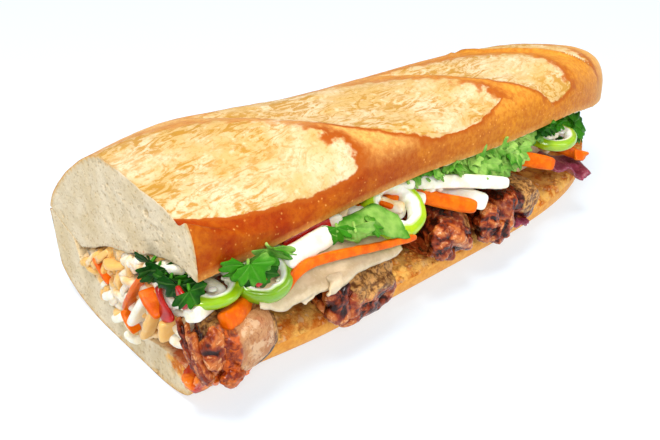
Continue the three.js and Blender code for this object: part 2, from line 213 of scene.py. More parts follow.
# ------------------------------------------------------------------ materials
class Shader:
    """A node material built a few nodes at a time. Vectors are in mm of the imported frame."""

    def __init__(self, name, roughness=0.5, **constants):
        self.material = bpy.data.materials.new(name)
        self.material.use_nodes = True
        self.tree = self.material.node_tree
        self.tree.nodes.clear()
        self.out = self.tree.nodes.new("ShaderNodeOutputMaterial")
        self.bsdf = self.tree.nodes.new("ShaderNodeBsdfPrincipled")
        self.tree.links.new(self.bsdf.outputs[0], self.out.inputs[0])
        self.bsdf.inputs["Roughness"].default_value = roughness
        for key, value in constants.items():
            self.bsdf.inputs[key.replace("_", " ")].default_value = value
        coordinates = self.tree.nodes.new("ShaderNodeTexCoord")
        scale = self.node("ShaderNodeVectorMath", operation="SCALE")
        self.tree.links.new(coordinates.outputs["Object"], scale.inputs[0])
        scale.inputs["Scale"].default_value = 1000.0
        self.mm = scale.outputs[0]

    def node(self, kind, **settings):
        made = self.tree.nodes.new(kind)
        for key, value in settings.items():
            setattr(made, key, value)
        return made

    def feed(self, socket, value):
        if isinstance(value, bpy.types.NodeSocket):
            self.tree.links.new(value, socket)
        elif isinstance(value, tuple):
            opaque = len(socket.default_value) == 4 and len(value) == 3
            socket.default_value = (*value, 1.0) if opaque else value
        else:
            socket.default_value = value

    def field(self, name, output="Fac"):
        return self.node("ShaderNodeAttribute", attribute_name=name).outputs[output]

    def noise(self, size, detail=4.0, rough=0.55, stretch=None, warp=0.0):
        """Noise whose largest features are about size mm."""
        made = self.node("ShaderNodeTexNoise")
        vector = self.mm
        if stretch:
            mapping = self.node("ShaderNodeMapping")
            self.feed(mapping.inputs["Vector"], vector)
            self.feed(mapping.inputs["Rotation"], tuple(math.radians(a) for a in stretch[0]))
            self.feed(mapping.inputs["Scale"], tuple(stretch[1]))
            vector = mapping.outputs[0]
        self.feed(made.inputs["Vector"], vector)
        self.feed(made.inputs["Scale"], 1.0 / size)
        self.feed(made.inputs["Detail"], detail)
        self.feed(made.inputs["Roughness"], rough)
        self.feed(made.inputs["Distortion"], warp)
        return made.outputs["Fac"]

    def spots(self, size):
        """Distance to the nearest of scattered points that are about size mm apart."""
        made = self.node("ShaderNodeTexVoronoi")
        self.feed(made.inputs["Vector"], self.mm)
        self.feed(made.inputs["Scale"], 1.0 / size)
        return made.outputs["Distance"]

    def math(self, operation, a, b):
        made = self.node("ShaderNodeMath", operation=operation)
        self.feed(made.inputs[0], a)
        self.feed(made.inputs[1], b)
        return made.outputs[0]

    def step(self, value, low, high, to_low=0.0, to_high=1.0):
        """Smoothly from to_low to to_high as value goes from low to high."""
        made = self.node("ShaderNodeMapRange", interpolation_type="SMOOTHSTEP")
        self.feed(made.inputs["Value"], value)
        self.feed(made.inputs["From Min"], low)
        self.feed(made.inputs["From Max"], high)
        self.feed(made.inputs["To Min"], to_low)
        self.feed(made.inputs["To Max"], to_high)
        return made.outputs[0]

    def frayed(self, name, reach, *noise):
        """A field with noise of plus or minus reach on it, which makes its edge ragged."""
        return self.math("ADD", self.field(name), self.step(self.noise(*noise), 0.2, 0.8, -reach, reach))

    def blend(self, factor, a, b, how="MIX"):
        made = self.node("ShaderNodeMix", data_type="RGBA", blend_type=how)
        self.feed(made.inputs["Factor"], factor)
        self.feed(made.inputs[6], a)
        self.feed(made.inputs[7], b)
        return made.outputs[2]

    def bump(self, height, strength, distance):
        made = self.node("ShaderNodeBump")
        self.feed(made.inputs["Height"], height)
        self.feed(made.inputs["Strength"], strength)
        self.feed(made.inputs["Distance"], distance)
        return made.outputs[0]

    def finish(self, colour, roughness=None, normal=None):
        self.feed(self.bsdf.inputs["Base Color"], colour)
        if roughness is not None:
            self.feed(self.bsdf.inputs["Roughness"], roughness)
        if normal is not None:
            self.feed(self.bsdf.inputs["Normal"], normal)
        return self.material


def crust_material():
    """Baked crust tinted by the mesh, with the pale torn inside of the scores."""
    s = Shader("crust", roughness=0.5, Specular_IOR_Level=0.08)
    base = s.field("tint", "Vector")
    mottle = s.noise(10, 5)
    fine = s.noise(1.4, 5, 0.65)
    strength = s.field("deep")
    golden = s.math("MULTIPLY", s.step(mottle, 0.38, 0.7, 0.0, 0.35), strength)
    colour = s.blend(golden, base, linear(226, 146, 30))
    darker = s.math("MULTIPLY", s.step(fine, 0.32, 0.68, 0.5, 0.0), strength)
    colour = s.blend(darker, colour, linear(206, 122, 40), "MULTIPLY")
    speck = s.step(s.spots(1.5), 0.08, 0.26, 1.0, 0.0)
    speck = s.math("MULTIPLY", speck, s.step(s.noise(2.6, 3), 0.46, 0.58))
    colour = s.blend(s.math("MULTIPLY", speck, 0.65), colour, linear(238, 172, 84))
    # the scores: pale torn crust with toasted streaks
    streak = s.noise(4.6, 6, 0.66, stretch=((0, 0, -28), (0.5, 1.15, 1.0)), warp=2.2)
    patch = s.noise(16, 4, 0.6)
    torn = s.blend(s.step(patch, 0.38, 0.62), linear(229, 205, 164), linear(216, 178, 112))
    streaky = s.math("MULTIPLY", s.step(streak, 0.47, 0.58), s.step(s.noise(22, 3), 0.34, 0.54))
    torn = s.blend(s.math("MULTIPLY", streaky, 0.85), torn, linear(190, 134, 36))
    torn = s.blend(s.step(s.noise(1.1, 5, 0.7), 0.48, 0.68, 0.0, 0.6), torn, linear(186, 140, 62))
    torn = s.blend(s.step(s.noise(2.4, 4, 0.6), 0.55, 0.7, 0.0, 0.5), torn, linear(240, 222, 184))
    inside = s.frayed("bloom", 0.5, 3.5, 4)
    mask = s.step(inside, -0.25, 0.45)
    colour = s.blend(mask, colour, torn)
    # a thin scorched line where the crust tears
    lip = s.math("MULTIPLY", s.step(inside, -1.2, -0.1), s.step(inside, 0.0, 0.5, 1.0, 0.0))
    colour = s.blend(s.math("MULTIPLY", lip, s.field("scorch")), colour, linear(176, 84, 18))
    rough = s.step(mask, 0.0, 1.0, 0.42, 0.68)
    height = s.math("ADD", s.math("MULTIPLY", s.noise(0.8, 4, 0.6), 0.6), s.math("MULTIPLY", streak, 0.8))
    return s.finish(colour, rough, s.bump(height, 0.5, 0.0005))


def crumb_material(name, tones):
    s = Shader(name, roughness=0.85, Specular_IOR_Level=0.2, Subsurface_Weight=0.0)
    # painted shade: pores and pits are darkened towards tones[2], the shade inside the holes
    pores = s.step(s.spots(1.25), 0.10, 0.42)
    small = s.step(s.spots(0.7), 0.1, 0.5)
    cloud = s.noise(11, 4, 0.55)
    colour = s.blend(s.step(cloud, 0.35, 0.65), tones[0], tones[1])
    colour = s.blend(s.step(pores, 0.0, 1.0, 0.42, 0.0), colour, tones[2])
    colour = s.blend(s.step(small, 0.0, 1.0, 0.22, 0.0), colour, tones[2])
    colour = s.blend(s.step(s.field("pit"), 0.1, 0.7, 0.0, 0.5), colour, tones[2])
    # where the inside was toasted, and where sauce has soaked in
    heat = s.frayed("toast", 0.45, 7, 6, 0.65)
    gold = s.blend(s.step(s.noise(4, 5, 0.6), 0.42, 0.62), linear(246, 186, 92), linear(208, 108, 20))
    gold = s.blend(s.step(s.noise(2.0, 3), 0.56, 0.7, 0.0, 0.55), gold, linear(246, 214, 154))
    colour = s.blend(s.step(heat, 0.3, 0.75), colour, gold)
    stain = s.frayed("sauce", 0.4, 5, 5, 0.6)
    colour = s.blend(s.step(stain, 0.35, 0.8, 0.0, 0.9), colour, linear(190, 76, 12))
    rim = s.frayed("rim", 0.35, 2.2, 3)
    colour = s.blend(s.step(rim, 0.3, 1.9, 0.8, 0.0), colour, linear(222, 176, 106))
    colour = s.blend(s.step(rim, 0.0, 0.6, 0.6, 0.0), colour, linear(198, 128, 52))
    height = s.math("ADD", s.math("MULTIPLY", pores, 0.8), s.noise(0.6, 4, 0.6))
    return s.finish(colour, None, s.bump(height, 0.55, 0.0005))


CRUST = crust_material()
# the third tone of each crumb is the painted shade in its pores and pits
CRUMB = crumb_material("crumb", (linear(234, 216, 184), linear(222, 200, 160), linear(190, 156, 102)))
INNER = crumb_material("crumb_inside", (linear(238, 216, 174), linear(228, 200, 150), linear(186, 140, 80)))

# ------------------------------------------------------------------ the loaf's shape
CUT_SLANT = math.tan(math.radians(3.6))  # the knife's cut is a little askew
# Pairs of x and a value: the top half's front edge, the crown's height, and how square the back is.
FRONT_EDGE = [
    (0, 40), (18, 40.6), (38, 42), (70, 43), (100, 41.6), (145, 40.5), (165, 37), (192, 32.5), (205, 31),
]
CROWN_SCALE = [
    (0, 1), (22, 1.06), (40, 1), (67, 0.9), (110, 0.92), (163, 0.93), (186, 0.83), (199, 0.62), (205, 0.3),
]
BACK_ROUND = [(0, 1.35), (25, 1.75), (205, 1.75)]
# The torn front edge of the first score: pairs of x and how far to the front.
EAR_LINE = [(0, 32.4), (6, 35.2), (12.5, 37.2), (25, 39.0), (37, 39.8), (205, 40)]
# Pairs of y and a value: how far the underside has risen to the front edge, and the bottom's inner face.
UNDER_SHARE = [(-41, 1), (-29, 1), (-19, 0.85), (-7, 0.6), (3, 0.45), (13, 0.2), (22, 0)]
INNER_FACE = [
    (-37.6, 9.2), (-36, 11), (-29, 11.7), (-21.5, 10.8), (0, 12), (10, 12.8), (16, 15.2), (23.5, 15.8),
]
# Scores: centre x and y, half length, half width, turn in degrees, depth.
BLOOMS = [
    (5, -17, 50, 22, -28, 5.4),
    (68, -15, 47, 22, -28, 4.4),
    (123, -19, 33, 15, -46, 3.6),
    (156, -9, 26, 13, -58, 2.6),
]


def taper(x, length):
    """Share of the full width at x."""
    t = np.clip((x - TAPER_FROM) / (length - TAPER_FROM), 0, 1)
    return (1 - t ** 2.4) ** (1 / 2.1)


def slant(x, y):
    """Where a point at x goes, so that the cut end slants a little."""
    return x + CUT_SLANT * y * (1 - smooth(x / 60))


def hinge(x):
    """Height of the seam at the back."""
    return 27 - 5 * smooth(x / 190)


def fold_low(x):
    """Lowest line of the top half, behind the filling."""
    return 21.6 - 4.6 * smooth(x / 190) + 6 * smooth((x - 183) / 20)


def underside(x, yn):
    """Height of the top half's lower face. yn is y as it would be at the loaf's full width."""
    seam = fold_low(x) + (yn - FOLD_Y) * (hinge(x) - 0.3 - fold_low(x)) / 18
    return np.where(yn > FOLD_Y, seam, mix(fold_low(x), along(FRONT_EDGE, x), along(UNDER_SHARE, yn)))


def bloom_fields(x, y):
    """How deep the scores are, and how far inside a score a point lies, in mm."""
    depth = np.zeros(np.broadcast(x, y).shape)
    inside = np.full(depth.shape, -50.0)
    for cx, cy, half_long, half_wide, turn, deep in BLOOMS:
        a = math.radians(turn)
        u = ((x - cx) * math.cos(a) + (y - cy) * math.sin(a)) / half_long
        v = (-(x - cx) * math.sin(a) + (y - cy) * math.cos(a)) / half_wide
        edge = 1 - u * u
        w = v / np.maximum(edge, 0.02)
        here = (edge > 0.02) & (np.abs(w) < 1)
        d = deep * np.sqrt(np.maximum(edge, 0)) * smooth((w + 1) / 0.22) * smooth((1 - w) / 1.3)
        depth = np.maximum(depth, np.where(here, d, 0))
        lip = np.exp(-((w + 1.07) / 0.09) ** 2) * np.clip(edge * 2, 0, 1)
        depth = depth - 1.1 * np.where(edge > 0.05, lip, 0)
        reach = (edge - np.abs(v)) * half_wide
        inside = np.maximum(inside, np.where(v > 0, reach / 6, reach))
    return depth, inside


def crust(x, yn):
    """Height of the top half's upper face."""
    power = np.where(yn > 0, along(BACK_ROUND, x), 3.0)
    share = np.maximum(0, 1 - np.abs(yn / HALF_WIDTH) ** power) ** (1 / power)
    chord = mix(along(FRONT_EDGE, x), hinge(x), (yn + HALF_WIDTH) / (2 * HALF_WIDTH))
    depth, _ = bloom_fields(x, yn * taper(x, TOP_LENGTH))
    fade = smooth(share / 0.45)
    return chord + 23.4 * along(CROWN_SCALE, x) * share - depth * fade


def stations(length, count, tip):
    """Places along the loaf, closer together at the tip."""
    even = np.linspace(0, length - 25, count, endpoint=False)
    return np.concatenate([even, length - 25 + 24.8 * np.sin(np.linspace(0, math.pi / 2, tip))])


# Material slots of the loaf, after the crust in slot 0.
INSIDE_SIDE = 1
CUT_FACE = 2


def half_loaf(name, outer, inner, cap_rows, fields, nodes):
    """A closed half of the loaf.

    outer and inner are (stations, across, 3) grids of points, from the back edge to the front edge.
    """
    rows, across = outer.shape[:2]
    ring = out_and_back(outer, inner)
    columns = 2 * across
    vertices = ring.reshape(-1, 3)
    body = quads(rows, columns, wrap_columns=True)
    side_index = np.where(np.arange(columns) < across - 1, 0, INSIDE_SIDE)
    side_index[-1] = 0  # the seam at the back is crust
    index = np.tile(side_index, rows - 1)
    # cut face: rows of points between the two sides
    t = np.linspace(0, 1, cap_rows + 1)[1:-1]
    face = outer[0][None, 1:-1] * (1 - t)[:, None, None] + inner[0][None, 1:-1] * t[:, None, None]
    start = len(vertices)
    ids = np.empty((cap_rows + 1, across), np.int64)
    ids[0] = np.arange(across)
    ids[-1] = columns - 1 - np.arange(across)
    ids[1:-1, 1:-1] = start + np.arange((cap_rows - 1) * (across - 2)).reshape(cap_rows - 1, across - 2)
    away, low_away = (
        np.linalg.norm(face[:, :, None, 1:] - side[0][None, None, ::3, 1:], axis=-1).min(axis=-1)
        for side in (outer, inner))
    pits = np.zeros(away.shape)
    for size, chance, deep in ((1.5, 0.5, 0.45), (2.6, 0.35, 0.8), (4.6, 0.16, 1.2)):
        d, own = cells(face / size, seed=int(size * 10))
        radius = 0.2 + 0.3 * (own * 7 % 1)
        pits = np.maximum(pits, deep * smooth(1 - d / radius) * (own < chance))
    rough = 0.35 * fbm(face / 2.2, 5)
    free = smooth(np.minimum(away, low_away) / 1.6)
    face[..., 0] += (pits + rough) * free
    vertices = np.concatenate([vertices, face.reshape(-1, 3)])
    across_face = face[..., 1]
    if name == "top_half":
        # the crust line fades beside the first score
        soft_rim, soft_ring = (2.4 * smooth((-3 - y) / 8) * smooth((y + 37.5) / 1.5)
                               for y in (across_face, ring[0, :, 1]))
        cap_sauce = (0.75 * smooth(1.3 - low_away / 1.2) * smooth((across_face + 19) / 4)
                     * smooth((9 - across_face) / 4))
        cap_toast = np.zeros(away.shape)
    else:
        soft_rim, soft_ring = np.zeros(away.shape), np.zeros(columns)
        cap_sauce = 0.45 * smooth(1.2 - low_away / 3) * smooth((-across_face - 22) / 5)
        cap_toast = smooth(1.3 - low_away / 7) * smooth((-across_face - 15) / 16)
    inner_ids = ids[:, 1:-1]
    a, b = inner_ids[:-1, :-1], inner_ids[:-1, 1:]
    c, d = inner_ids[1:, 1:], inner_ids[1:, :-1]
    cap = np.stack([a, b, c, d], -1).reshape(-1, 4).tolist()
    cap.append([int(ids[0, 0]), *[int(v) for v in ids[:, 1]], int(ids[-1, 0])])
    cap.append([int(ids[-1, -1]), *[int(v) for v in ids[::-1, -2]], int(ids[0, -1])])
    last = (rows - 1) * columns
    tip = [[last + j, last + columns - 1 - j, last + columns - 2 - j, last + j + 1]
           for j in range(across - 1)]
    faces = body.tolist() + cap + tip
    index = np.concatenate([index, np.full(len(cap), CUT_FACE), np.zeros(len(tip), int)])
    fields["rim"] = np.concatenate([np.full(rows * columns, 30.0), (away + soft_rim).ravel()])
    fields["rim"][:columns] = soft_ring
    fields["rim"][across:columns] = np.minimum(6.0, np.linalg.norm(inner[0][::-1] - outer[0][::-1], axis=-1))
    # painted shade in the pits dug into the cut face
    fields["pit"] = np.concatenate([np.zeros(rows * columns), (pits * free).ravel()])
    fields["toast"] = np.concatenate([fields["toast"], cap_toast.ravel()])
    fields["sauce"] = np.concatenate([fields["sauce"], cap_sauce.ravel()])
    for key, values in fields.items():
        extra = np.repeat(values[:1] * 0, len(vertices) - len(values), axis=0)
        fields[key] = np.concatenate([values, extra])
    make_piece(name, vertices, faces, [CRUST, INNER, CRUMB], index, fields, nodes)


def top_half():
    """The top half, with its scores, torn lower edge and colours."""
    x = stations(TOP_LENGTH, 190, 34)[:, None]
    across = 130
    yn = HALF_WIDTH * np.cos(np.linspace(0, math.pi, across))[None, :]
    k = taper(x, TOP_LENGTH)
    y = yn * k
    z = crust(x, yn) + 0 * x
    z[:, 0] = hinge(x[:, 0]) + 0.4
    outer = surface(slant(x, y), y, z)
    _, inside = bloom_fields(x, y)
    ear = along(EAR_LINE, x)
    inside = np.minimum(inside, (yn + ear) * 2.0)
    n = grid_normals(outer)
    n = np.where(n[..., 2:3].mean() < 0, -n, n)
    torn = smooth(inside / 1.5)
    swell = 0.35 * fbm(outer / 14, 1) + 0.12 * fbm(outer / 3, 2)
    rips = torn * (0.45 * fbm(outer @ turned(-28).T / np.array([9.0, 3.2, 6.0]), 3, 5, 0.6))
    edge = smooth((HALF_WIDTH - np.abs(yn)) / 0.6) * smooth((TOP_LENGTH - x) / 2)
    outer = outer + n * ((swell + rips) * edge)[..., None]
    yi = mix(HALF_WIDTH - 1, -HALF_WIDTH + 0.8, np.linspace(0, 1, across) ** 0.9)[None, :]
    zi = underside(x, yi) + 0 * x
    lip = np.exp(-((yi + HALF_WIDTH - 0.8) / 2.2) ** 2)
    points = surface(x, yi * k, zi)
    jag = 0.9 * fbm(points / 2.4, 8, 3) - 0.5
    zi = zi + lip * jag + 0.5 * (1 - lip) * fbm(points / 3.0, 9) * smooth((18 - yi) / 6)
    inner = surface(slant(x, yi * k), yi * k, zi)
    # crust colour: deep brown on the steep front near the cut, golden over the top and towards the tip
    far = smooth((x - 30) / 100)
    low_from = np.minimum(36.4 + 2.2 * smooth((x - 30) / 25), ear - 0.9)
    low = smooth((np.abs(yn) - low_from) / mix(1.0, 2.4, smooth(x / 30))) * (yn < 0)
    wall = mix(np.array(linear(160, 54, 0)), np.array(linear(198, 122, 10)), far[..., None])
    band = mix(np.array(linear(240, 194, 112)), np.array(linear(234, 164, 60)), far[..., None])
    tip = smooth((x - 160) / 34)[..., None]
    band = mix(band, np.array(linear(246, 202, 118)), tip)
    wall = mix(wall, np.array(linear(244, 198, 104)), tip)
    tint = mix(band, wall, (low * mix(1.0, 0.75, far))[..., None])
    back = (smooth((yn - 20) / 20) + 0 * x)[..., None]
    tint = mix(tint, np.array(linear(214, 140, 62)), back * 0.7)
    # painted shade: the crust just below the torn edge of each score is darkened, most near the cut, as the
    # shadow of the ear
    under_ear = (np.exp(-np.maximum(0, -inside) / 3.5) * (inside < 0.3)
                 * smooth((-yn - np.minimum(ear - 0.6, 36.5)) / 1.2))
    under_ear = under_ear * mix(0.8, 0.25, smooth((x - 25) / 40))
    tint = mix(tint, np.array(linear(172, 60, 2)), under_ear[..., None])
    above_edge = outer[..., 2] - along(FRONT_EDGE, x)
    ragged = smooth((1.0 - above_edge + 0.8 * fbm(outer / 1.6, 17)) / 0.8) * (yn < -30)
    tint = mix(tint, np.array(linear(240, 180, 92)), (0.75 * ragged)[..., None])
    scorch = np.clip(smooth((-yn - 20) / 15) * mix(1.0, 0.5, far) + 0.35, 0, 1) + 0 * x
    zero = np.zeros(2 * outer.shape[0] * across)
    deep = np.broadcast_to(1 - 0.45 * smooth((x - 160) / 34), (outer.shape[0], 2 * across))
    fields = {"bloom": np.concatenate([inside, np.full(inside.shape, -20.0)], 1).ravel(),
              "tint": out_and_back(tint, tint).reshape(-1, 3),
              "scorch": out_and_back(scorch, scorch).ravel(),
              "deep": deep.ravel(), "toast": zero, "sauce": zero}
    half_loaf("top_half", outer, inner, 34, fields, ["bread_top"])


def turned(degrees):
    a = math.radians(degrees)
    return np.array([[math.cos(a), math.sin(a), 0], [-math.sin(a), math.cos(a), 0], [0, 0, 1]])


def inner_face(x, yn):
    """Height of the bottom half's inner face."""
    floor = along(INNER_FACE, yn) + 6 * smooth((x - 165) / 35) * smooth((14 - yn) / 20)
    lap = underside(x, yn) - 0.5 - 1.6 * smooth((x - 180) / 16)
    return mix(np.minimum(floor, lap - 1), lap, smooth((yn - 23.5) / 4))


def outer_bottom(x, yn):
    """Height of the bottom half's crust."""
    back = yn > 0
    reach = np.where(back, BOTTOM_BACK, BOTTOM_FRONT)
    power = np.where(back, 2.6, 3.2)
    side = np.where(back, 17.0, 9.0)
    rise = side * (1 - np.maximum(0, 1 - np.abs(yn / reach) ** power) ** (1 / power))
    t = np.clip((x - 160) / (BOTTOM_LENGTH - 160), 0, 1)
    nose = 12 * (1 - np.sqrt(1 - t ** 2.4))
    wall = nose + np.maximum(0, rise - 0.4) * (1 - nose / 15)
    return mix(wall, hinge(x) - 1.2, smooth((yn / reach - 0.94) / 0.06) * back)


def bottom_half():
    """The bottom half, toasted inside and stained with sauce under the pork."""
    x = stations(BOTTOM_LENGTH, 190, 30)[:, None]
    across = 110
    k = taper(x, BOTTOM_LENGTH)
    lip = 1 - 0.11 * (1 - smooth(x / 45))
    c = np.cos(np.linspace(0, math.pi, across))[None, :]
    yn = np.where(c > 0, BOTTOM_BACK * c, BOTTOM_FRONT * c)
    y = yn * k * np.where(yn < 0, lip, 1)
    z = outer_bottom(x, yn) + 0 * x
    under = surface(slant(x, y), y, z)
    yi = mix(BOTTOM_BACK - 1.6, -BOTTOM_FRONT + 0.6, np.linspace(0, 1, across))[None, :]
    zi = inner_face(x, yi * k / taper(x, TOP_LENGTH)) + 0 * x
    zi = zi - 4.5 * np.exp(-((yi + 2) / 10) ** 2) * (1 - smooth(x / 30))
    y2 = yi * k * np.where(yi < 0, lip, 1)
    points = surface(x, y2, zi)
    open_part = smooth((14 - yi) / 8) * smooth((BOTTOM_LENGTH - x) / 12)
    d, own = cells(points / 3.6, 31)
    holes = smooth(1 - d / (0.25 + 0.25 * (own * 9 % 1))) * (own < 0.35)
    zi = zi + open_part * (0.7 * fbm(points / 5, 12) - 0.9 * holes + 0.25 * fbm(points / 1.4, 13))
    zi = zi + 0.7 * np.exp(-((yi + BOTTOM_FRONT - 0.6) / 2.0) ** 2) * fbm(points / 3, 14)
    upper = surface(slant(x, y2), y2, zi)
    far = smooth(x / 130)
    tint = mix(np.array(linear(226, 160, 76)), np.array(linear(230, 172, 90)), far[..., None])
    tint = tint + 0 * yn[..., None]
    high = smooth((z - 4) / 14)[..., None]
    tint = mix(tint, np.array(linear(216, 146, 66)), high * 0.7)
    lip_tone = smooth((z - 1.5) / 3)[..., None] * (yn < -30)[..., None]
    tint = mix(tint, np.array(linear(238, 172, 78)), lip_tone * 0.85)
    shape = (upper.shape[0], across)
    toast = np.broadcast_to(smooth((-yi - 4) / 14) * mix(0.35, 0.95, smooth((x - 4) / 12)), shape)
    near = np.exp(-((x - 8) / 11) ** 2 - ((yi + 30) / 9) ** 2)
    for centre in (46, 79, 113):
        near = near + 0.7 * np.exp(-((x - centre) / 11) ** 2 - ((yi + 20) / 10) ** 2)
    sauce = np.broadcast_to(near, shape)
    # the outer side repeats the value at the front edge, so that the lip has no pale line
    toast, sauce = (out_and_back(np.repeat(a[:, -1:], across, 1), a).ravel() for a in (toast, sauce))
    size = 2 * shape[0] * across
    fields = {"bloom": np.full(size, -20.0), "tint": out_and_back(tint, tint).reshape(-1, 3),
              "deep": np.full(size, 0.8), "scorch": np.zeros(size), "toast": toast, "sauce": sauce}
    half_loaf("bottom_half", under, upper, 30, fields, ["bread_bottom"])


top_half()
bottom_half()


# ------------------------------------------------------------------ shapes for the filling
class Bundle:
    """Closed shapes joined into one mesh, with a number or two on every point."""

    def __init__(self):
        self.points = []
        self.faces = []
        self.fields = {}
        self.count = 0

    def add(self, rings, **fields):
        """A tube through rings of points (rows, around, 3), closed at both ends."""
        rows, around = rings.shape[:2]
        faces = quads(rows, around, wrap_columns=True, start=self.count).tolist()
        faces.append([self.count + i for i in range(around)])
        faces.append([self.count + rows * around - 1 - i for i in range(around)])
        self._keep(rings, faces, fields)

    def add_loop(self, rings, **fields):
        """A tube that runs round into its own start."""
        rows, around = rings.shape[:2]
        self._keep(rings, quads(rows, around, True, True, self.count).tolist(), fields)

    def _keep(self, rings, faces, fields):
        self.points.append(rings.reshape(-1, 3))
        self.faces.extend(faces)
        size = rings.shape[0] * rings.shape[1]
        for key, value in fields.items():
            whole = np.broadcast_to(np.asarray(value, float), rings.shape[:2]).ravel()
            self.fields.setdefault(key, []).append(whole)
        self.count += size

    def piece(self, name, material, nodes=(), slot=None):
        fields = {key: np.concatenate(value) for key, value in self.fields.items()}
        make_piece(name, np.concatenate(self.points), self.faces, [material], None, fields, nodes)


def unit(v):
    v = np.asarray(v, float)
    return v / np.linalg.norm(v)


def curve(path, t):
    """Points at shares t of a smooth line through the path."""
    path = np.asarray(path, float)
    far = np.concatenate([[0], np.cumsum(np.linalg.norm(np.diff(path, axis=0), axis=1))])
    return np.stack([along(list(zip(far, path[:, k])), t * far[-1]) for k in range(3)], -1)


def strip(path, wide, thick, up=(0, 0.35, 1), seed=1, rows=26, around=16, corner=0.6, rough=0.07, point=0.0):
    """A bar cut from a vegetable, with rounded edges and ends, along a bent path."""
    t = 0.5 - 0.5 * np.cos(np.linspace(0.02, 0.98, rows) * math.pi)
    t = mix(np.linspace(0, 1, rows), t, 0.65)
    centre = curve(path, t)
    tangent = np.gradient(centre, axis=0)
    tangent = tangent / np.linalg.norm(tangent, axis=1, keepdims=True)
    side = np.cross(tangent, np.broadcast_to(np.asarray(up, float), tangent.shape))
    side = side / np.linalg.norm(side, axis=1, keepdims=True)
    rise = np.cross(side, tangent)
    a = circle(around)
    c = squarish(np.cos(a), corner)
    s = squarish(np.sin(a), corner)
    end = np.maximum(0.3, (1 - np.abs(2 * t - 1) ** 16) ** (1 / 3)) * (1 - point * t)
    w = (wide / 2 * end)[:, None] * c[None]
    h = (thick / 2 * end)[:, None] * s[None]
    rings = centre[:, None] + rise[:, None] * w[..., None] + side[:, None] * h[..., None]
    out = rings - centre[:, None]
    size = np.linalg.norm(out, axis=-1, keepdims=True)
    swell = rough * fbm(rings / max(wide, 2.0) * 1.3 + seed * 3.1, seed, 3)
    return rings + out / np.maximum(size, 1e-6) * (swell * max(wide, thick))[..., None]


def blob(centre, radii, seed=1, rows=18, around=22, rough=0.25, turn=0.0, grain=1.6):
    """A rounded irregular lump."""
    a = np.linspace(0.06, math.pi - 0.06, rows)[:, None]
    b = circle(around)[None]
    unit_ball = np.stack([np.sin(a) * np.cos(b), np.sin(a) * np.sin(b), np.cos(a) + 0 * b], -1)
    size = 1 + rough * fbm(unit_ball * grain + seed * 5.7, seed, 3)
    p = unit_ball * size[..., None] * np.asarray(radii, float)
    return p @ turned(-turn).T + np.asarray(centre, float)


def leaf(base, growth, face, size, seed, bend, cup, width):
    """A coriander leaf: a fan of three lobes with rounded teeth. Gives its rings and vein values."""
    d = unit(growth)
    n = unit(np.asarray(face, float) - np.dot(face, d) * d)
    s = np.cross(n, d)
    theta = np.linspace(-2.05, 2.05, 52)[:, None]
    r = np.linspace(0.03, 1, 7)[None]
    lobes = 0.0
    veins = 0.0
    for centre, reach in ((-1.3, 0.86), (0.0, 1.0), (1.3, 0.9)):
        off = (theta - centre) / 0.66
        lobes = np.maximum(lobes, reach * np.exp(-np.abs(off) ** 4))
        veins = np.maximum(veins, np.exp(-((theta - centre) / (0.03 + 0.05 / np.maximum(r, 0.2))) ** 2 * 3))
    teeth = 1 + 0.1 * np.cos(theta * 10.6 + 0.3 * seed)
    outline = (0.5 + 0.5 * lobes) * teeth
    x = outline * r * np.cos(theta * 0.86)
    y = outline * r * np.sin(theta * 0.86) * width * 1.1
    z = -bend * x ** 2 - cup * y ** 2 + 0.07 * np.sin(theta * 6 + seed) * r ** 2 - 0.035 * veins * r
    flat = surface(x, y, z)
    flat[..., 2] += 0.10 * fbm(flat * 2.2 + seed, seed, 2)
    top = np.asarray(base, float) + size * (flat[..., :1] * d + flat[..., 1:2] * s + flat[..., 2:] * n)
    half = 0.16 * n
    return out_and_back(top + half, top - half), out_and_back(veins, veins)


def slice_sheet(front, back, thick, ripple, waves, seed, rows, across, ragged):
    """A thin curved slice between a front line and a back line."""
    t = np.linspace(0, 1, rows)
    f = curve(front, t)
    b = curve(back, t)
    s = np.linspace(0, 1, across)[None]
    cut = ragged * (fbm(np.stack([t * 14, 0 * t, 0 * t + seed], -1), seed, 3))[:, None]
    share = s * (1 - cut) + cut
    p = f[:, None] + (b - f)[:, None] * share[..., None]
    p[..., 2] += ripple * np.sin(waves * math.pi * t + seed)[:, None] * (1 - 0.5 * s)
    p[..., 2] += 0.35 * fbm(p / 3.5, seed, 3)
    edge = np.minimum(s, 1 - s) * across / 2.2
    ends = np.clip(np.minimum(t, 1 - t) * rows / 3, 0.25, 1)[:, None]
    half = thick / 2 * np.clip(edge, 0.25, 1) ** 0.5 * ends ** 0.5
    rise = half[..., None] * np.array([0, 0, 1])
    return out_and_back(p + rise, p - rise)


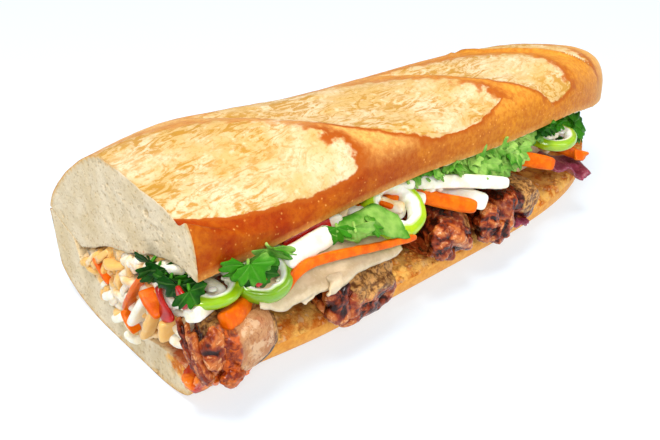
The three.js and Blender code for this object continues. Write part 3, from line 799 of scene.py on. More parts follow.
# ------------------------------------------------------------------ pork
def pork_material():
    """Grilled meat. The fields say where it is browned, glazed, sliced or charred, and where shade and
    highlight are painted.
    """
    s = Shader("pork", roughness=0.34, Specular_IOR_Level=0.2, Coat_Weight=0.14, Coat_Roughness=0.1,
               Subsurface_Weight=0.0)
    ridge = s.field("ridge")
    fine = s.noise(3.0, 3, 0.5, warp=1.2)
    broad = s.noise(7, 4, 0.6)
    # painted shade: the grooves between the clumps are darkened nearly to black and the ridges lightened to
    # caramel
    height = s.math("ADD", ridge, s.step(fine, 0.3, 0.7, -0.3, 0.3))
    colour = s.blend(s.step(height, 0.1, 0.6), linear(40, 8, 2), linear(140, 50, 16))
    colour = s.blend(s.step(height, 0.5, 1.0), colour, linear(196, 108, 48))
    colour = s.blend(s.step(broad, 0.5, 0.68, 0.0, 0.5), colour, linear(140, 40, 6))
    glint = s.step(s.noise(1.9, 3, 0.5, warp=2.0), 0.54, 0.66, 0.0, 0.6)
    colour = s.blend(s.math("MULTIPLY", glint, s.step(height, 0.4, 0.9)), colour, linear(236, 178, 118))
    # the browned, peppery top; on pieces 3 and 4 these tones are partly a painted highlight
    brown = s.frayed("brown", 0.35, 3, 5, 0.65)
    pebble = s.blend(s.step(s.noise(1.2, 4, 0.6), 0.38, 0.62), linear(104, 60, 24), linear(204, 148, 80))
    pebble = s.blend(s.step(s.noise(2.6, 4, 0.6), 0.52, 0.66, 0.0, 0.6), pebble, linear(128, 98, 64))
    colour = s.blend(s.step(brown, 0.3, 0.75), colour, pebble)
    # orange glaze
    glaze = s.frayed("glaze", 0.3, 4, 4)
    sugar = s.step(s.noise(2.6, 4, 0.6, warp=1.5), 0.4, 0.6)
    sugar = s.blend(sugar, linear(112, 32, 6), linear(198, 88, 12))
    colour = s.blend(s.step(glaze, 0.3, 0.8, 0.0, 0.85), colour, sugar)
    # pale meat where it was sliced
    cut = s.frayed("cut", 0.25, 2.2, 5, 0.6)
    meat = s.noise(1.6, 5, 0.6, stretch=((0, 25, 0), (1.0, 1.0, 0.35)))
    pale = s.blend(s.step(meat, 0.38, 0.62), linear(176, 116, 68), linear(196, 142, 94))
    pale = s.blend(s.step(s.noise(5, 3), 0.5, 0.65, 0.0, 0.6), pale, linear(186, 114, 74))
    heart = s.math("ADD", s.field("cut"), s.step(s.noise(3.0, 4, 0.6), 0.3, 0.7, -0.35, 0.35))
    pale = s.blend(s.step(heart, 0.95, 1.2, 0.0, 0.85), pale, linear(214, 174, 134))
    scar = s.noise(1.1, 5, 0.7, stretch=((0, 25, 0), (1.0, 1.0, 0.5)), warp=1.5)
    pale = s.blend(s.step(scar, 0.55, 0.66, 0.0, 0.8), pale, linear(136, 70, 32))
    colour = s.blend(s.step(cut, 0.35, 0.7), colour, pale)
    # char, and painted shade in the dug hollows and grooves
    char = s.frayed("char", 0.4, 1.8, 4)
    colour = s.blend(s.step(char, 0.4, 0.8, 0.0, 0.95), colour, linear(34, 20, 14))
    rough = s.step(s.math("MAXIMUM", s.field("brown"), s.field("cut")), 0.2, 0.9, 0.24, 0.5)
    bump = s.math("ADD", s.math("MULTIPLY", s.noise(0.9, 4, 0.6), 0.4), s.noise(2.2, 3, 0.5, warp=1.0))
    return s.finish(colour, rough, s.bump(bump, 0.45, 0.0009))


PORK = pork_material()
PORK_PIECES = [
    dict(x=8.0, z=19.3, wide=10.8, high=8.8, back=-8, front=-46.0, droop=-0.6, lean=0, seed=1),
    dict(x=48.6, z=18.8, wide=12, high=8.6, back=-9, front=-47.5, droop=2.6, lean=-1.5, seed=2),
    dict(x=84.4, z=19.8, wide=8.2, high=7.4, back=-9, front=-46.6, droop=0.8, lean=-0.5, seed=3),
    dict(x=114.5, z=19, wide=14, high=8, back=-10, front=-46.5, droop=0.6, lean=-2, seed=4),
]


def meat_relief(p, seed, lobe, deep):
    """Clumps of meat with grooves between them: how far out, and how much of a ridge, which the pork
    material turns into painted shade in the grooves.
    """
    warp = np.stack([fbm(p / 8 + k * 9.0, seed + k, 3) for k in range(3)], -1)
    q = (p + 4.5 * warp) / np.asarray(lobe)
    near, _ = cells(q, seed)
    clump = 1 - smooth(near / 0.8)
    threads = 1 - np.abs(fbm((p + 2.5 * warp) / np.array([2.6, 7.5, 2.6]), seed + 3, 2)) * 2.2
    crumbs = fbm(p / 3.0, seed + 5, 3)
    out = deep * (clump - 0.55) + 0.3 * threads + 0.15 * crumbs
    return out, np.clip(0.2 + 0.7 * clump + 0.35 * (threads - 0.4), 0, 1.2)


def pork_piece(number, x, z, wide, high, back, front, droop, lean, seed):
    """A piece of pork that lies across the loaf, from y = back inside to y = front over the lip."""
    rows, around = 170, 180
    t = np.linspace(0.012, 0.988, rows)
    y = mix(back, front, 0.5 - 0.5 * np.cos(math.pi * t))[:, None]
    share = (y - back) / (front - back)
    size = (1 - np.abs(2 * share - 1) ** 7) ** (1 / 2.6)
    a = circle(around)[None]
    sx = squarish(np.cos(a), 0.82)
    sz = squarish(np.sin(a), 0.82)
    half = wide * np.ones_like(y)
    if number == 1:
        half = np.where(sx < 0, mix(wide, wide * 0.62, smooth((y + 38) / 6)), wide)
    p = surface(x + lean * share + half * size * sx, y + 0 * a, z - droop * share ** 2 + high * size * sz)
    n = grid_normals(p)
    middle = p.mean(axis=1, keepdims=True)
    n = np.where(((p - middle) * n).sum(-1, keepdims=True).mean() < 0, -n, n)
    lobe, deep = ((9.5, 15.0, 8.5), 2.0) if number > 2 else ((7.0, 12.0, 6.0), 2.2)
    relief, ridge = meat_relief(p, seed * 10, lobe, deep)
    brown, glaze, cut, char = np.zeros((4, *p.shape[:2]))
    damp = np.ones(p.shape[:2])
    px, py, pz = p[..., 0], p[..., 1], p[..., 2]
    if number == 1:
        # the sliced face at the front, browned at its right and charred below
        cut = smooth((-41.0 - py) / 2.5) * smooth((px - 3.0) / 2.6) * smooth((pz - 10.5) / 2)
        damp = 1 - 0.85 * cut
        brown = 0.9 * smooth((pz - 23) / 3) * smooth((-28 - py) / 4) * (1 - cut)
        glaze = smooth((-38 - py) / 4) * smooth((6.0 - px) / 3.5)
        rim = np.hypot((px - x) / wide, (pz - z) / high)
        char = 1.7 * smooth((rim - 0.52) / 0.12) * smooth((px - 9) / 2) * smooth((-38 - py) / 3)
        char = char * smooth((18.5 - pz) / 4)
        skin = smooth((px - 13.4) / 1.6) * smooth((-34 - py) / 4)
        brown = np.maximum(brown, skin * smooth((pz - 13) / 4))
        cut = cut * (1 - 0.9 * smooth((px - 14.0) / 1.6))
    if number == 2:
        brown = smooth((pz - 15.5) / 5) * smooth((px - 37) / 6)
        # two hollows dug in the front; their dark colour is char and painted shade
        char = 0.9 * (np.exp(-((px - 44) / 2.2) ** 2 - ((pz - 15.5) / 1.8) ** 2)
                      + np.exp(-((px - 53) / 3) ** 2 - ((pz - 14) / 1.5) ** 2)) * smooth((-40 - py) / 3)
        relief = relief - 2.6 * char * smooth((-40 - py) / 3)
        glaze = 0.5 * smooth((13 - pz) / 4)
    if number > 2:
        glaze = 0.35 * smooth((fbm(p / 9, seed + 40) - 0.1) / 0.3)
        # painted highlight: the tops of pieces 3 and 4 lightened to tan, and the upper right side of piece 4
        # too
        brown = 0.5 * smooth((pz - 19) / 4) * smooth((px - x + 1) / 5) * smooth((-34 - py) / 5)
        if number == 4:
            brown = np.maximum(brown, 1.1 * smooth((pz - 15.5) / 3) * smooth((px - x + 2) / 4))
        # a deep groove down the front, darkened with painted shade
        hollow = np.exp(-((px - x + 1.5 - (pz - 17) * -0.8) / 2.2) ** 2) * smooth((-41 - py) / 3)
        char = 0.75 * hollow * smooth((21 - pz) / 5)
        relief = relief - 3.2 * hollow * smooth((22 - pz) / 6)
    p = p + n * (relief * damp * (0.55 + 0.45 * smooth((-12 - py) / 10)))[..., None]
    meat = Bundle()
    meat.add(p, ridge=ridge, brown=brown, glaze=glaze, cut=cut, char=char)
    meat.piece(f"pork_{number}_meat", PORK, [f"pork_{number}"], "pork")


for number, sizes in enumerate(PORK_PIECES, 1):
    pork_piece(number, **sizes)


def pork_shreds():
    """Torn lobes and strings of meat at the ends of the pieces."""
    meat = Bundle()
    for centre, radii, seed, turn in [
        ((-1.2, -42.2, 21.6), (2.9, 2.8, 5.6), 11, 10), ((-2.6, -40.5, 15.6), (1.9, 2.6, 3.6), 12, 0),
        ((2.0, -44.4, 14.4), (3.6, 2.2, 2.4), 13, 0), ((98.5, -43.6, 19.5), (5.0, 3.6, 6.0), 14, 0),
        ((103, -44.5, 15.6), (4.6, 3.2, 4.4), 15, 0), ((36.5, -44, 19.5), (4.2, 3.5, 6.2), 16, 0),
        ((77.0, -43.5, 20.5), (4.0, 3.4, 5.4), 17, 0),
    ]:
        p = blob(centre, radii, seed, 46, 52, 0.3, turn, 1.8)
        relief, ridge = meat_relief(p, seed, (4.5, 6.0, 4.5), 1.0)
        out = p - np.asarray(centre)
        p = p + out / np.linalg.norm(out, axis=-1, keepdims=True) * relief[..., None]
        meat.add(p, ridge=ridge + (0.25 if seed < 14 else 0.0), brown=0.0,
                 glaze=0.75 if seed == 13 else 0.1, cut=0.0, char=0.0)
    draw = random.Random(21)
    for k in range(6):
        y = -35.5 - 1.0 * k
        path = [(-3.6 + draw.uniform(-0.5, 0.4), y + 2, 27.5 - 0.3 * k + draw.uniform(-1, 1)),
                (-4.2 + draw.uniform(-0.6, 0.6), y - 0.5, 21 + draw.uniform(-1, 1)),
                (-2.6 + draw.uniform(-0.6, 0.6), y - 2.5, 13.0 + draw.uniform(-1, 2))]
        p = strip(path, draw.uniform(1.2, 2.8), draw.uniform(0.8, 1.4),
                  seed=k, rows=30, around=14, rough=0.3)
        meat.add(p, ridge=draw.uniform(0.2, 0.8), brown=0.0, glaze=0.1, cut=0.0, char=0.0)
    meat.piece("pork_shreds", PORK, slot="pork")


pork_shreds()


# ------------------------------------------------------------------ pickled vegetables
def vegetable_material(name, tones, rough, subsurface, radius, gloss=0.5, stain=None):
    s = Shader(name, roughness=rough, Specular_IOR_Level=gloss, Subsurface_Weight=subsurface,
               Subsurface_Radius=radius, Subsurface_Scale=0.003)
    grain = s.noise(3.0, 4, 0.55)
    colour = s.blend(s.step(grain, 0.35, 0.65), tones[0], tones[1])
    colour = s.blend(s.step(s.noise(0.9, 3), 0.5, 0.75, 0.0, 0.35), colour, tones[2])
    if stain:
        wet = s.frayed("stain", 0.3, 4.5, 4, 0.6)
        colour = s.blend(s.step(wet, 0.2, 0.9, 0.0, 0.9), colour, stain)
    bump = s.math("ADD", s.noise(1.4, 4), s.noise(0.5, 2))
    return s.finish(colour, None, s.bump(bump, 0.2, 0.0004))


CARROT = vegetable_material("carrot", (linear(232, 110, 4), linear(216, 86, 0), linear(242, 142, 18)),
                            0.32, 0.1, (1.0, 0.35, 0.08), 0.15)
DAIKON = vegetable_material("daikon", (linear(251, 247, 232), linear(243, 232, 202), linear(254, 252, 246)),
                            0.28, 0.25, (1.0, 0.85, 0.5), 0.35, stain=linear(238, 178, 78))
SLICE = vegetable_material("daikon_slice_flesh",
                           (linear(222, 200, 164), linear(206, 182, 142), linear(236, 220, 190)),
                           0.35, 0.2, (1.0, 0.8, 0.5))
CABBAGE = vegetable_material("cabbage", (linear(150, 62, 84), linear(120, 36, 60), linear(214, 150, 158)),
                             0.3, 0.2, (1.0, 0.3, 0.5))
RED_CHILLI = vegetable_material("red_chilli", (linear(196, 24, 10), linear(160, 14, 8), linear(226, 60, 30)),
                                0.22, 0.15, (1.0, 0.2, 0.1), 0.6)

CARROT_STICKS = [
    ([(2, -42.5, 28), (8, -41, 28.2), (16, -36, 28)], 4.4, 3.6),
    ([(18, -44.6, 29.6), (20.6, -45.0, 33.4), (25.4, -45.6, 35.4), (34.8, -46.5, 34.6), (47.8, -47.5, 32.4),
      (61.2, -48.0, 30.2)], 2.5, 1.7),
    ([(70, -27, 34.6), (76, -37, 33.2), (82, -42, 31.2), (88, -47, 29.4)], 4.2, 3),
    ([(111, -26, 33.6), (118, -37, 32.8), (123, -42, 31.6), (128, -46, 30)], 4.4, 3),
    ([(148, -19, 25), (155, -30, 23.4), (158, -35, 22), (159.5, -39, 21)], 3.6, 2.6),
]
DAIKON_STICKS = [
    ([(-4.5, -39.5, 31.2), (0, -37.5, 30.6), (6, -34, 29)], 3.78, 4),
    ([(20.5, -43, 37.2), (28, -42.5, 37.6), (36, -41.6, 38)], 5.4, 2.6),
    ([(66, -26, 38), (75, -37, 38), (88, -41.5, 35.6), (104, -46, 31.4)], 3.91, 2.2),
    ([(79, -26, 31), (86, -35, 30.4), (91, -41, 29.4), (95.5, -45, 27.4)], 5.29, 2),
]
for number, (path, wide, thick) in enumerate(CARROT_STICKS, 1):
    shape = Bundle()
    shape.add(strip(path, wide * 1.12, thick * 1.1, seed=number, rows=50, around=24, corner=0.55,
                    point=0.3 if number == 2 else 0.12))
    shape.piece(f"carrot_{number}_stick", CARROT, [f"carrot_{number}"], "carrot")
for number, (path, wide, thick) in enumerate(DAIKON_STICKS, 1):
    shape = Bundle()
    shape.add(strip(path, wide, thick * 1.1, seed=number + 7, rows=50, around=24, corner=0.5), stain=0.0)
    shape.piece(f"daikon_{number}_stick", DAIKON, [f"daikon_{number}"], "daikon")


def daikon_slice():
    shape = Bundle()
    front = [(11, -44.8, 29.0), (19, -45.6, 26.4), (30, -46, 26.4), (43, -46.4, 26.2), (58, -46, 27.0)]
    back = [(17, -36, 34.0), (30, -35, 35.0), (44, -35, 34.2), (60, -36, 32.2)]
    shape.add(slice_sheet(front, back, 1.8, 0.6, 5, 3, 120, 40, 0.04))
    for path, wide, thick in [
        ([(34, -44.6, 28.6), (33.6, -46.4, 27.2), (32.0, -46.6, 25.4), (30.6, -46.2, 24.4)], 4.2, 1.5),
        ([(27.5, -43, 27.6), (26.2, -45, 26.6), (23.4, -45.4, 25.2)], 2.8, 1.2),
    ]:
        shape.add(strip(path, wide, thick, (1, 0, 0.3), 5, 30, 18, 0.6, 0.12, 0.25))
    shape.piece("daikon_slice_wavy", SLICE, ["daikon_slice"], "daikon")


daikon_slice()


def cabbage():
    shape = Bundle()
    shape.add(slice_sheet([(141, -36, 23), (150, -40.6, 18.6), (158.0, -43.2, 15.0)],
                          [(141, -19, 22.5), (150, -20, 20.5), (163, -33, 18)],
                          1.3, 1.4, 4, 2, 80, 30, 0.1))
    shape.add(slice_sheet([(111, -44.6, 14.2), (115, -45.6, 13.0), (120, -44.6, 12.2)],
                          [(111, -40, 14.6), (115, -40, 14.4), (120, -40, 13.6)],
                          1.0, 0.5, 3, 4, 30, 12, 0.1))
    shape.piece("cabbage_shreds", CABBAGE, ["cabbage_1"], "cabbage")


cabbage()


# ------------------------------------------------------------------ chilli rings
def chilli_material():
    s = Shader("green_chilli", roughness=0.2, Specular_IOR_Level=0.5, Coat_Weight=0.3, Coat_Roughness=0.08,
               Subsurface_Weight=0.15, Subsurface_Radius=(0.5, 1.0, 0.2), Subsurface_Scale=0.002)
    inward = s.field("inward")
    light = s.field("light")
    skin = s.blend(light, linear(60, 132, 10), linear(176, 206, 12))
    skin = s.blend(s.step(s.noise(6, 4), 0.35, 0.7, 0.0, 0.45), skin, linear(104, 176, 30))
    flesh = s.blend(s.step(s.noise(2, 3), 0.3, 0.7), linear(196, 222, 130), linear(222, 236, 176))
    pith = s.blend(s.step(s.noise(2.5, 4), 0.35, 0.7), linear(252, 253, 246), linear(234, 240, 206))
    colour = s.blend(s.step(inward, 0.42, 0.52), skin, flesh)
    colour = s.blend(s.step(inward, 0.52, 0.66), colour, pith)
    return s.finish(colour, None, s.bump(s.noise(1.2, 4), 0.15, 0.0003))


CHILLI = chilli_material()
CHILLI_RINGS = [
    ((4.0, -35.5, 34.4), (-0.1, -0.3, 1), 7.6, 2.4, 2.8, 0.6),
    ((16.0, -40.0, 33.4), (-0.3, -0.42, 0.85), 7.2, 2.2, 4.6, 0.4),
    ((60.8, -39.6, 35.6), (0.1, -0.6, 0.78), 9.9, 3.4, 4.6, 1.0),
    ((139.5, -35.5, 34), (0.02, -0.2, 1), 9.2, 2.4, 3.4, 0.75),
]


def chilli_ring(number, centre, normal, radius, wall, deep, light):
    n = unit(normal)
    a = unit(np.cross((0, 0, 1), n))
    b = np.cross(n, a)
    angle = circle(120)[:, None]
    phi = circle(30)[None]
    bend = fbm(np.stack([np.cos(angle) + number, np.sin(angle), 0 * angle], -1), number, 2)
    r = radius * (1 + 0.07 * bend)
    rib = 0.9 * np.exp(-((np.mod(angle + number, 2 * math.pi / 3) - 1.0) / 0.22) ** 2)
    pith = wall * (1.3 + 0.3 * rib)
    c = squarish(np.cos(phi), 0.6)
    s = squarish(np.sin(phi), 0.6)
    inwards = (0.5 - 0.5 * c) * pith
    bulge = 0.5 * (1 - s ** 2) * (c > 0)
    out = a * np.cos(angle)[..., None] + b * 0.9 * np.sin(angle)[..., None]
    p = (np.asarray(centre, float) + out * (r - inwards + bulge)[..., None]
         + n * ((s * deep / 2 * (1 - 0.12 * (c < -0.5))) + 0.5 * bend)[..., None])
    p = p + n * (0.25 * fbm(p / 1.8, number + 5, 3))[..., None]
    shape = Bundle()
    shape.add_loop(p, inward=inwards / pith, light=light)
    # seeds; the third ring, which stands open, has none
    draw = random.Random(number)
    for k in range(0 if number == 3 else 5):
        at = draw.uniform(0, 2 * math.pi)
        reach = (radius - wall) * draw.uniform(0.35, 0.85)
        middle = np.asarray(centre) + (a * math.cos(at) + b * math.sin(at)) * reach
        middle = middle + n * draw.uniform(-0.6, 0.8)
        shape.add(blob(middle, (1.1, 1.0, 0.5), k, 10, 14, 0.1), inward=0.75, light=light)
    shape.piece(f"jalapeno_{number}_ring", CHILLI, [f"jalapeno_{number}"], "chilli")


for number, ring in enumerate(CHILLI_RINGS, 1):
    chilli_ring(number, *ring)


def chilli_strips():
    """Red chilli under the bread and at the cut."""
    red = Bundle()
    for seed, (path, wide, thick, rows, around) in enumerate([
        ([(24, -38, 37.6), (31, -38.6, 38.2), (39, -38.4, 38.6)], 4.4, 1.6, 40, 18),
        ([(9.8, -44.6, 36.0), (12.4, -45.2, 37.4)], 2.4, 1.2, 20, 14),
        ([(-4.0, -34.6, 36.0), (-4.6, -37.4, 35.0), (-4.2, -39.0, 33.6)], 3.4, 1.5, 26, 16),
        ([(-3.2, -24.8, 32.2), (-3.6, -26.8, 28.4), (-3.6, -28.8, 24.0)], 4.0, 1.6, 26, 16),
    ], 3):
        red.add(strip(path, wide, thick, seed=seed, rows=rows, around=around))
    red.piece("red_chilli_strips", RED_CHILLI, slot="chilli")


chilli_strips()


# ------------------------------------------------------------------ the heap of pickles
HEAP_BACK = 21.5  # the sticks reach no farther into the fold
STEP_X = 130.0  # past this the heap's front lies lower


def heap_core():
    """The plain middle of the heap, a little smaller than the CAD's, with the sticks round it."""
    rows, columns = 110, 60
    x = np.linspace(1.2, 177, rows)[:, None]
    k = np.minimum(taper(x, TOP_LENGTH), taper(x, BOTTOM_LENGTH))
    closing = 1 - 0.8 * smooth((x - 150) / 28)
    upper = np.linspace(21.8, -27.5, columns // 2)[None]
    floor = inner_face(x, upper) + 1.2
    ceiling = underside(x, upper) - 1.6
    high = mix(floor, ceiling, np.where(upper > 0, 1.0, closing))
    low = np.where(upper < -7, mix(29.2, 17.6, smooth((x - STEP_X) / 8)), floor)
    low = np.minimum(low, high - 1.6)
    rough = 1.4 * fbm(surface(x / 4.0, upper / 2.6, 0 * x * upper), 50, 3)
    y = upper * k
    top = surface(slant(x, y), y, high + np.minimum(rough, 0.6))
    under = surface(slant(x, y), y, low + 0.4)
    shape = Bundle()
    shape.add(out_and_back(top, under), stain=0.6)
    shape.piece("pickle_core", DAIKON, ["pickle_bed"], "pickles")


heap_core()


def cut_sticks(gold, draw):
    """Sticks that fill the cut, from the fold to the pork: three layers, the outer one the most open."""
    for layer, chance in ((3.6, 1.0), (1.9, 0.95), (0.3, 0.7)):
        for row in range(9):
            for column in range(13):
                y = HEAP_BACK - 4.2 * column + draw.uniform(-1.2, 1.2)
                low = float(inner_face(0.0, y)) - 4.5 * math.exp(-((y + 2) / 10) ** 2)
                high = float(underside(0.0, y))
                z = low + 1.4 + 4.0 * row + draw.uniform(-0.9, 0.9)
                angle = draw.uniform(-0.5, 1.5)
                half = draw.uniform(2.2, 5.2)
                wide = draw.uniform(1.9, 3.4)
                keep = draw.random() < chance
                inward = draw.uniform(-0.2, 1.6)
                stain = 0.45 + 0.35 * smooth((z - 13) / 9) * smooth((y + 8) / 12) + draw.uniform(-0.35, 0.4)
                if not keep or z > high - 1.4 or (y < -18 and z < 17) or y < -31:
                    continue
                dy, dz = -half * math.cos(angle), half * math.sin(angle)
                ends = []
                for sign in (-1, 1):
                    end_y = min(y + sign * dy, HEAP_BACK)
                    floor_z = float(inner_face(0.0, end_y)) + 1.2
                    roof_z = float(underside(0.0, end_y)) - 1.6
                    deeper = draw.uniform(-0.3, 1.2) + 0.4 * inward * (1 + sign)
                    ends.append((CUT_SLANT * end_y + layer + deeper, end_y,
                                 min(max(z + sign * dz, floor_z - 4.0 * (abs(end_y + 2) < 9)), roof_z)))
                middle = (CUT_SLANT * y + layer - draw.uniform(0.0, 0.8), y, z)
                gold.add(strip([ends[0], middle, ends[1]], wide, wide * draw.uniform(0.6, 0.85), (1, 0, 0.1),
                               row * 13 + column, 18, 14, 0.55, 0.14), stain=stain)


def strips_across_cut(white):
    """Long daikon strips that lie over the sticks at the cut."""
    for path, wide, thick, stain in [
        ([(-2.0, -20.2, 28.2), (-2.4, -15.0, 21.6), (-1.6, -8.4, 13.2)], 4.8, 2.4, 0.0),
        ([(0.2, 3.4, 15.4), (0.0, 5.6, 14.2), (0.4, 8.4, 12.6)], 3.8, 2.6, 0.05),
        ([(0.2, -0.6, 10.6), (-0.2, 1.6, 9.2), (0.2, 3.8, 7.8)], 3.8, 2.6, 0.0),
        ([(-0.2, -8.2, 6.8), (-0.4, -5.2, 6.2), (-0.2, -2.0, 5.8)], 3.6, 2.4, 0.1),
        ([(-0.4, -14.0, 31.6), (-0.6, -11.0, 31.2), (-0.4, -8.4, 30.2)], 3.2, 2.2, 0.55),
        ([(-2.6, -22.6, 25.0), (-3.0, -19.0, 18.6), (-2.4, -15.4, 12.8)], 4.4, 2.0, 1.0),
        ([(-2.8, -27.4, 23.8), (-3.0, -26.2, 17.8)], 4.8, 2.2, 0.95),
    ]:
        white.add(strip(path, wide, thick, (1, 0, 0.1), 3, 34, 22, 0.7, 0.1), stain=stain)


def front_row_sticks(white, draw):
    """Sticks glimpsed behind the front row, under the top half."""
    for k in range(38):
        x = 6 + 3.5 * k + draw.uniform(-2, 2)
        reach = -40.5 * (1.0 if x < STEP_X else float(taper(x, TOP_LENGTH)))
        top = float(underside(x, -36.0)) - 2.6
        z = draw.uniform(max(top - 7.0, 28.6 if x < STEP_X else 19.0), top)
        path = [(x - 3, -24, z), (x + draw.uniform(-3, 3), -31, z + draw.uniform(-1, 1)),
                (x + draw.uniform(-2, 7), reach + draw.uniform(0.0, 3.5), z + draw.uniform(-2.2, 0.6))]
        white.add(strip(path, draw.uniform(2.6, 4.4), draw.uniform(1.8, 2.8), seed=k, rows=30, around=14),
                  stain=draw.choice((0.0, 0.1, 0.3, 0.6)))


def far_end_sticks(white, orange):
    """Short sticks round the heap's far end, under the tip."""
    end = random.Random(77)
    for k in range(46):
        x = end.uniform(166, 178)
        across = end.uniform(-26, 19)
        scale = float(np.minimum(taper(x, TOP_LENGTH), taper(x, BOTTOM_LENGTH)))
        low = float(inner_face(x, across)) + 1.6
        high = float(underside(x, across)) - 1.8
        z = mix(low if across > -7 else 18.6, high, end.uniform(0.0, 1.0 if across > 0 else 0.75))
        angle, half = end.uniform(-0.7, 0.7), end.uniform(3.0, 6.0)
        dx, dy = half * math.sin(angle), half * math.cos(angle)
        y = across * scale
        path = [(x - dx, y - dy, z - end.uniform(-1, 1)), (x, y, z),
                (x + dx, y + dy, z + end.uniform(-1, 1))]
        stick = strip(path, end.uniform(2.4, 3.8), end.uniform(1.8, 2.6), seed=k + 90, rows=18, around=12)
        if k % 5 == 0:
            orange.add(stick)
        else:
            white.add(stick, stain=end.choice((0.1, 0.35, 0.6)))


def carrot_strips(orange, draw):
    """Carrot across the cut, and glimpsed behind the front row."""
    for path, wide, thick in [
        ([(-2.2, -18.6, 32.6), (-2.8, -12.6, 24.8), (-2.0, -6.6, 17.0)], 4.4, 2.2),
        ([(-3.0, -19.2, 28.6), (-3.8, -22.8, 26.6), (-3.8, -26.6, 25.0)], 5.0, 2.2),
        ([(-1.8, -5.2, 15.4), (-2.6, -8.2, 13.6), (-2.0, -10.0, 11.0)], 3.4, 2.0),
        ([(0.4, 12.6, 22.6), (0.0, 9.0, 20.4), (0.2, 5.6, 17.6)], 2.4, 1.8),
        ([(68, -33, 36.4), (64, -35.6, 35.8), (61, -36.6, 35.0)], 5.0, 2.4),
        ([(151, -39.4, 24.6), (155, -40.6, 23.4), (158, -39, 22.4)], 3.8, 1.8),
    ]:
        orange.add(strip(path, wide, thick * 0.7, (1, 0, 0.2), 9, 40, 20, 0.45, 0.06, 0.15))
    for k in range(10):
        x = 12 + 12.5 * k + draw.uniform(-3, 3)
        top = float(underside(x, -36.0)) - 3.0
        z = draw.uniform(max(top - 5.0, 28.6 if x < STEP_X else 20.0), top)
        path = [(x - 2, -24, z), (x + 1, -31, z),
                (x + draw.uniform(-2, 7), -37.5, z + draw.uniform(-2.0, 0.5))]
        wide, thick = draw.uniform(2.4, 3.8), draw.uniform(1.8, 2.6)
        orange.add(strip(path, wide, thick, seed=k + 60, rows=30, around=14))


def pickle_sticks():
    draw = random.Random(5)
    white, gold, orange = Bundle(), Bundle(), Bundle()
    cut_sticks(gold, draw)
    strips_across_cut(white)
    front_row_sticks(white, draw)
    far_end_sticks(white, orange)
    carrot_strips(orange, draw)
    gold.piece("daikon_heap", DAIKON, slot="daikon")
    white.piece("daikon_strips", DAIKON, slot="daikon")
    orange.piece("carrot_strips", CARROT, slot="carrot")


pickle_sticks()


# ------------------------------------------------------------------ coriander
def coriander_material():
    s = Shader("coriander", roughness=0.5, Specular_IOR_Level=0.12, Subsurface_Weight=0.1,
               Subsurface_Radius=(0.3, 1.0, 0.1), Subsurface_Scale=0.001)
    tone = s.frayed("tone", 0.22, 5, 4)
    colour = s.blend(s.step(tone, 0.0, 0.5), linear(6, 58, 0), linear(52, 128, 8))
    colour = s.blend(s.step(tone, 0.5, 1.0), colour, linear(154, 194, 92))
    colour = s.blend(s.math("MULTIPLY", s.field("vein"), 0.15), colour, linear(150, 196, 100))
    return s.finish(colour, None, s.bump(s.math("ADD", s.noise(0.9, 4), s.field("vein")), 0.4, 0.0004))


CORIANDER = coriander_material()


def sprig(shape, at, growth, face, size, leaves, tone, seed):
    """A few leaves that fan from one place, with a thin stem."""
    draw = random.Random(seed)
    at = np.asarray(at, float)
    d = unit(growth)
    n = unit(np.asarray(face, float) - np.dot(face, d) * d)
    side = np.cross(n, d)
    for k in range(leaves):
        spread = (k - (leaves - 1) / 2) * 0.85 + draw.uniform(-0.2, 0.2)
        toward = d * math.cos(spread) + side * math.sin(spread)
        facing = n + 0.7 * np.array([draw.uniform(-1, 1) for _ in range(3)])
        start = at + side * spread * size * 0.25 + n * draw.uniform(-0.4, 0.9)
        rings, vein = leaf(start, toward, facing, size * draw.uniform(0.85, 1.15), seed * 7 + k,
                           draw.uniform(0.15, 0.5), draw.uniform(-0.1, 0.4), draw.uniform(0.85, 1.1))
        shape.add(rings, vein=vein, tone=tone + draw.uniform(-0.12, 0.12))
    path = [at - n * 2.5 - d * 0.4, at - n * 1.0, at + d * size * 0.3 - n * 0.2]
    shape.add(strip(path, 0.8, 0.8, side, seed, 14, 8, 1.0, 0.02), vein=0.4, tone=tone + 0.3)


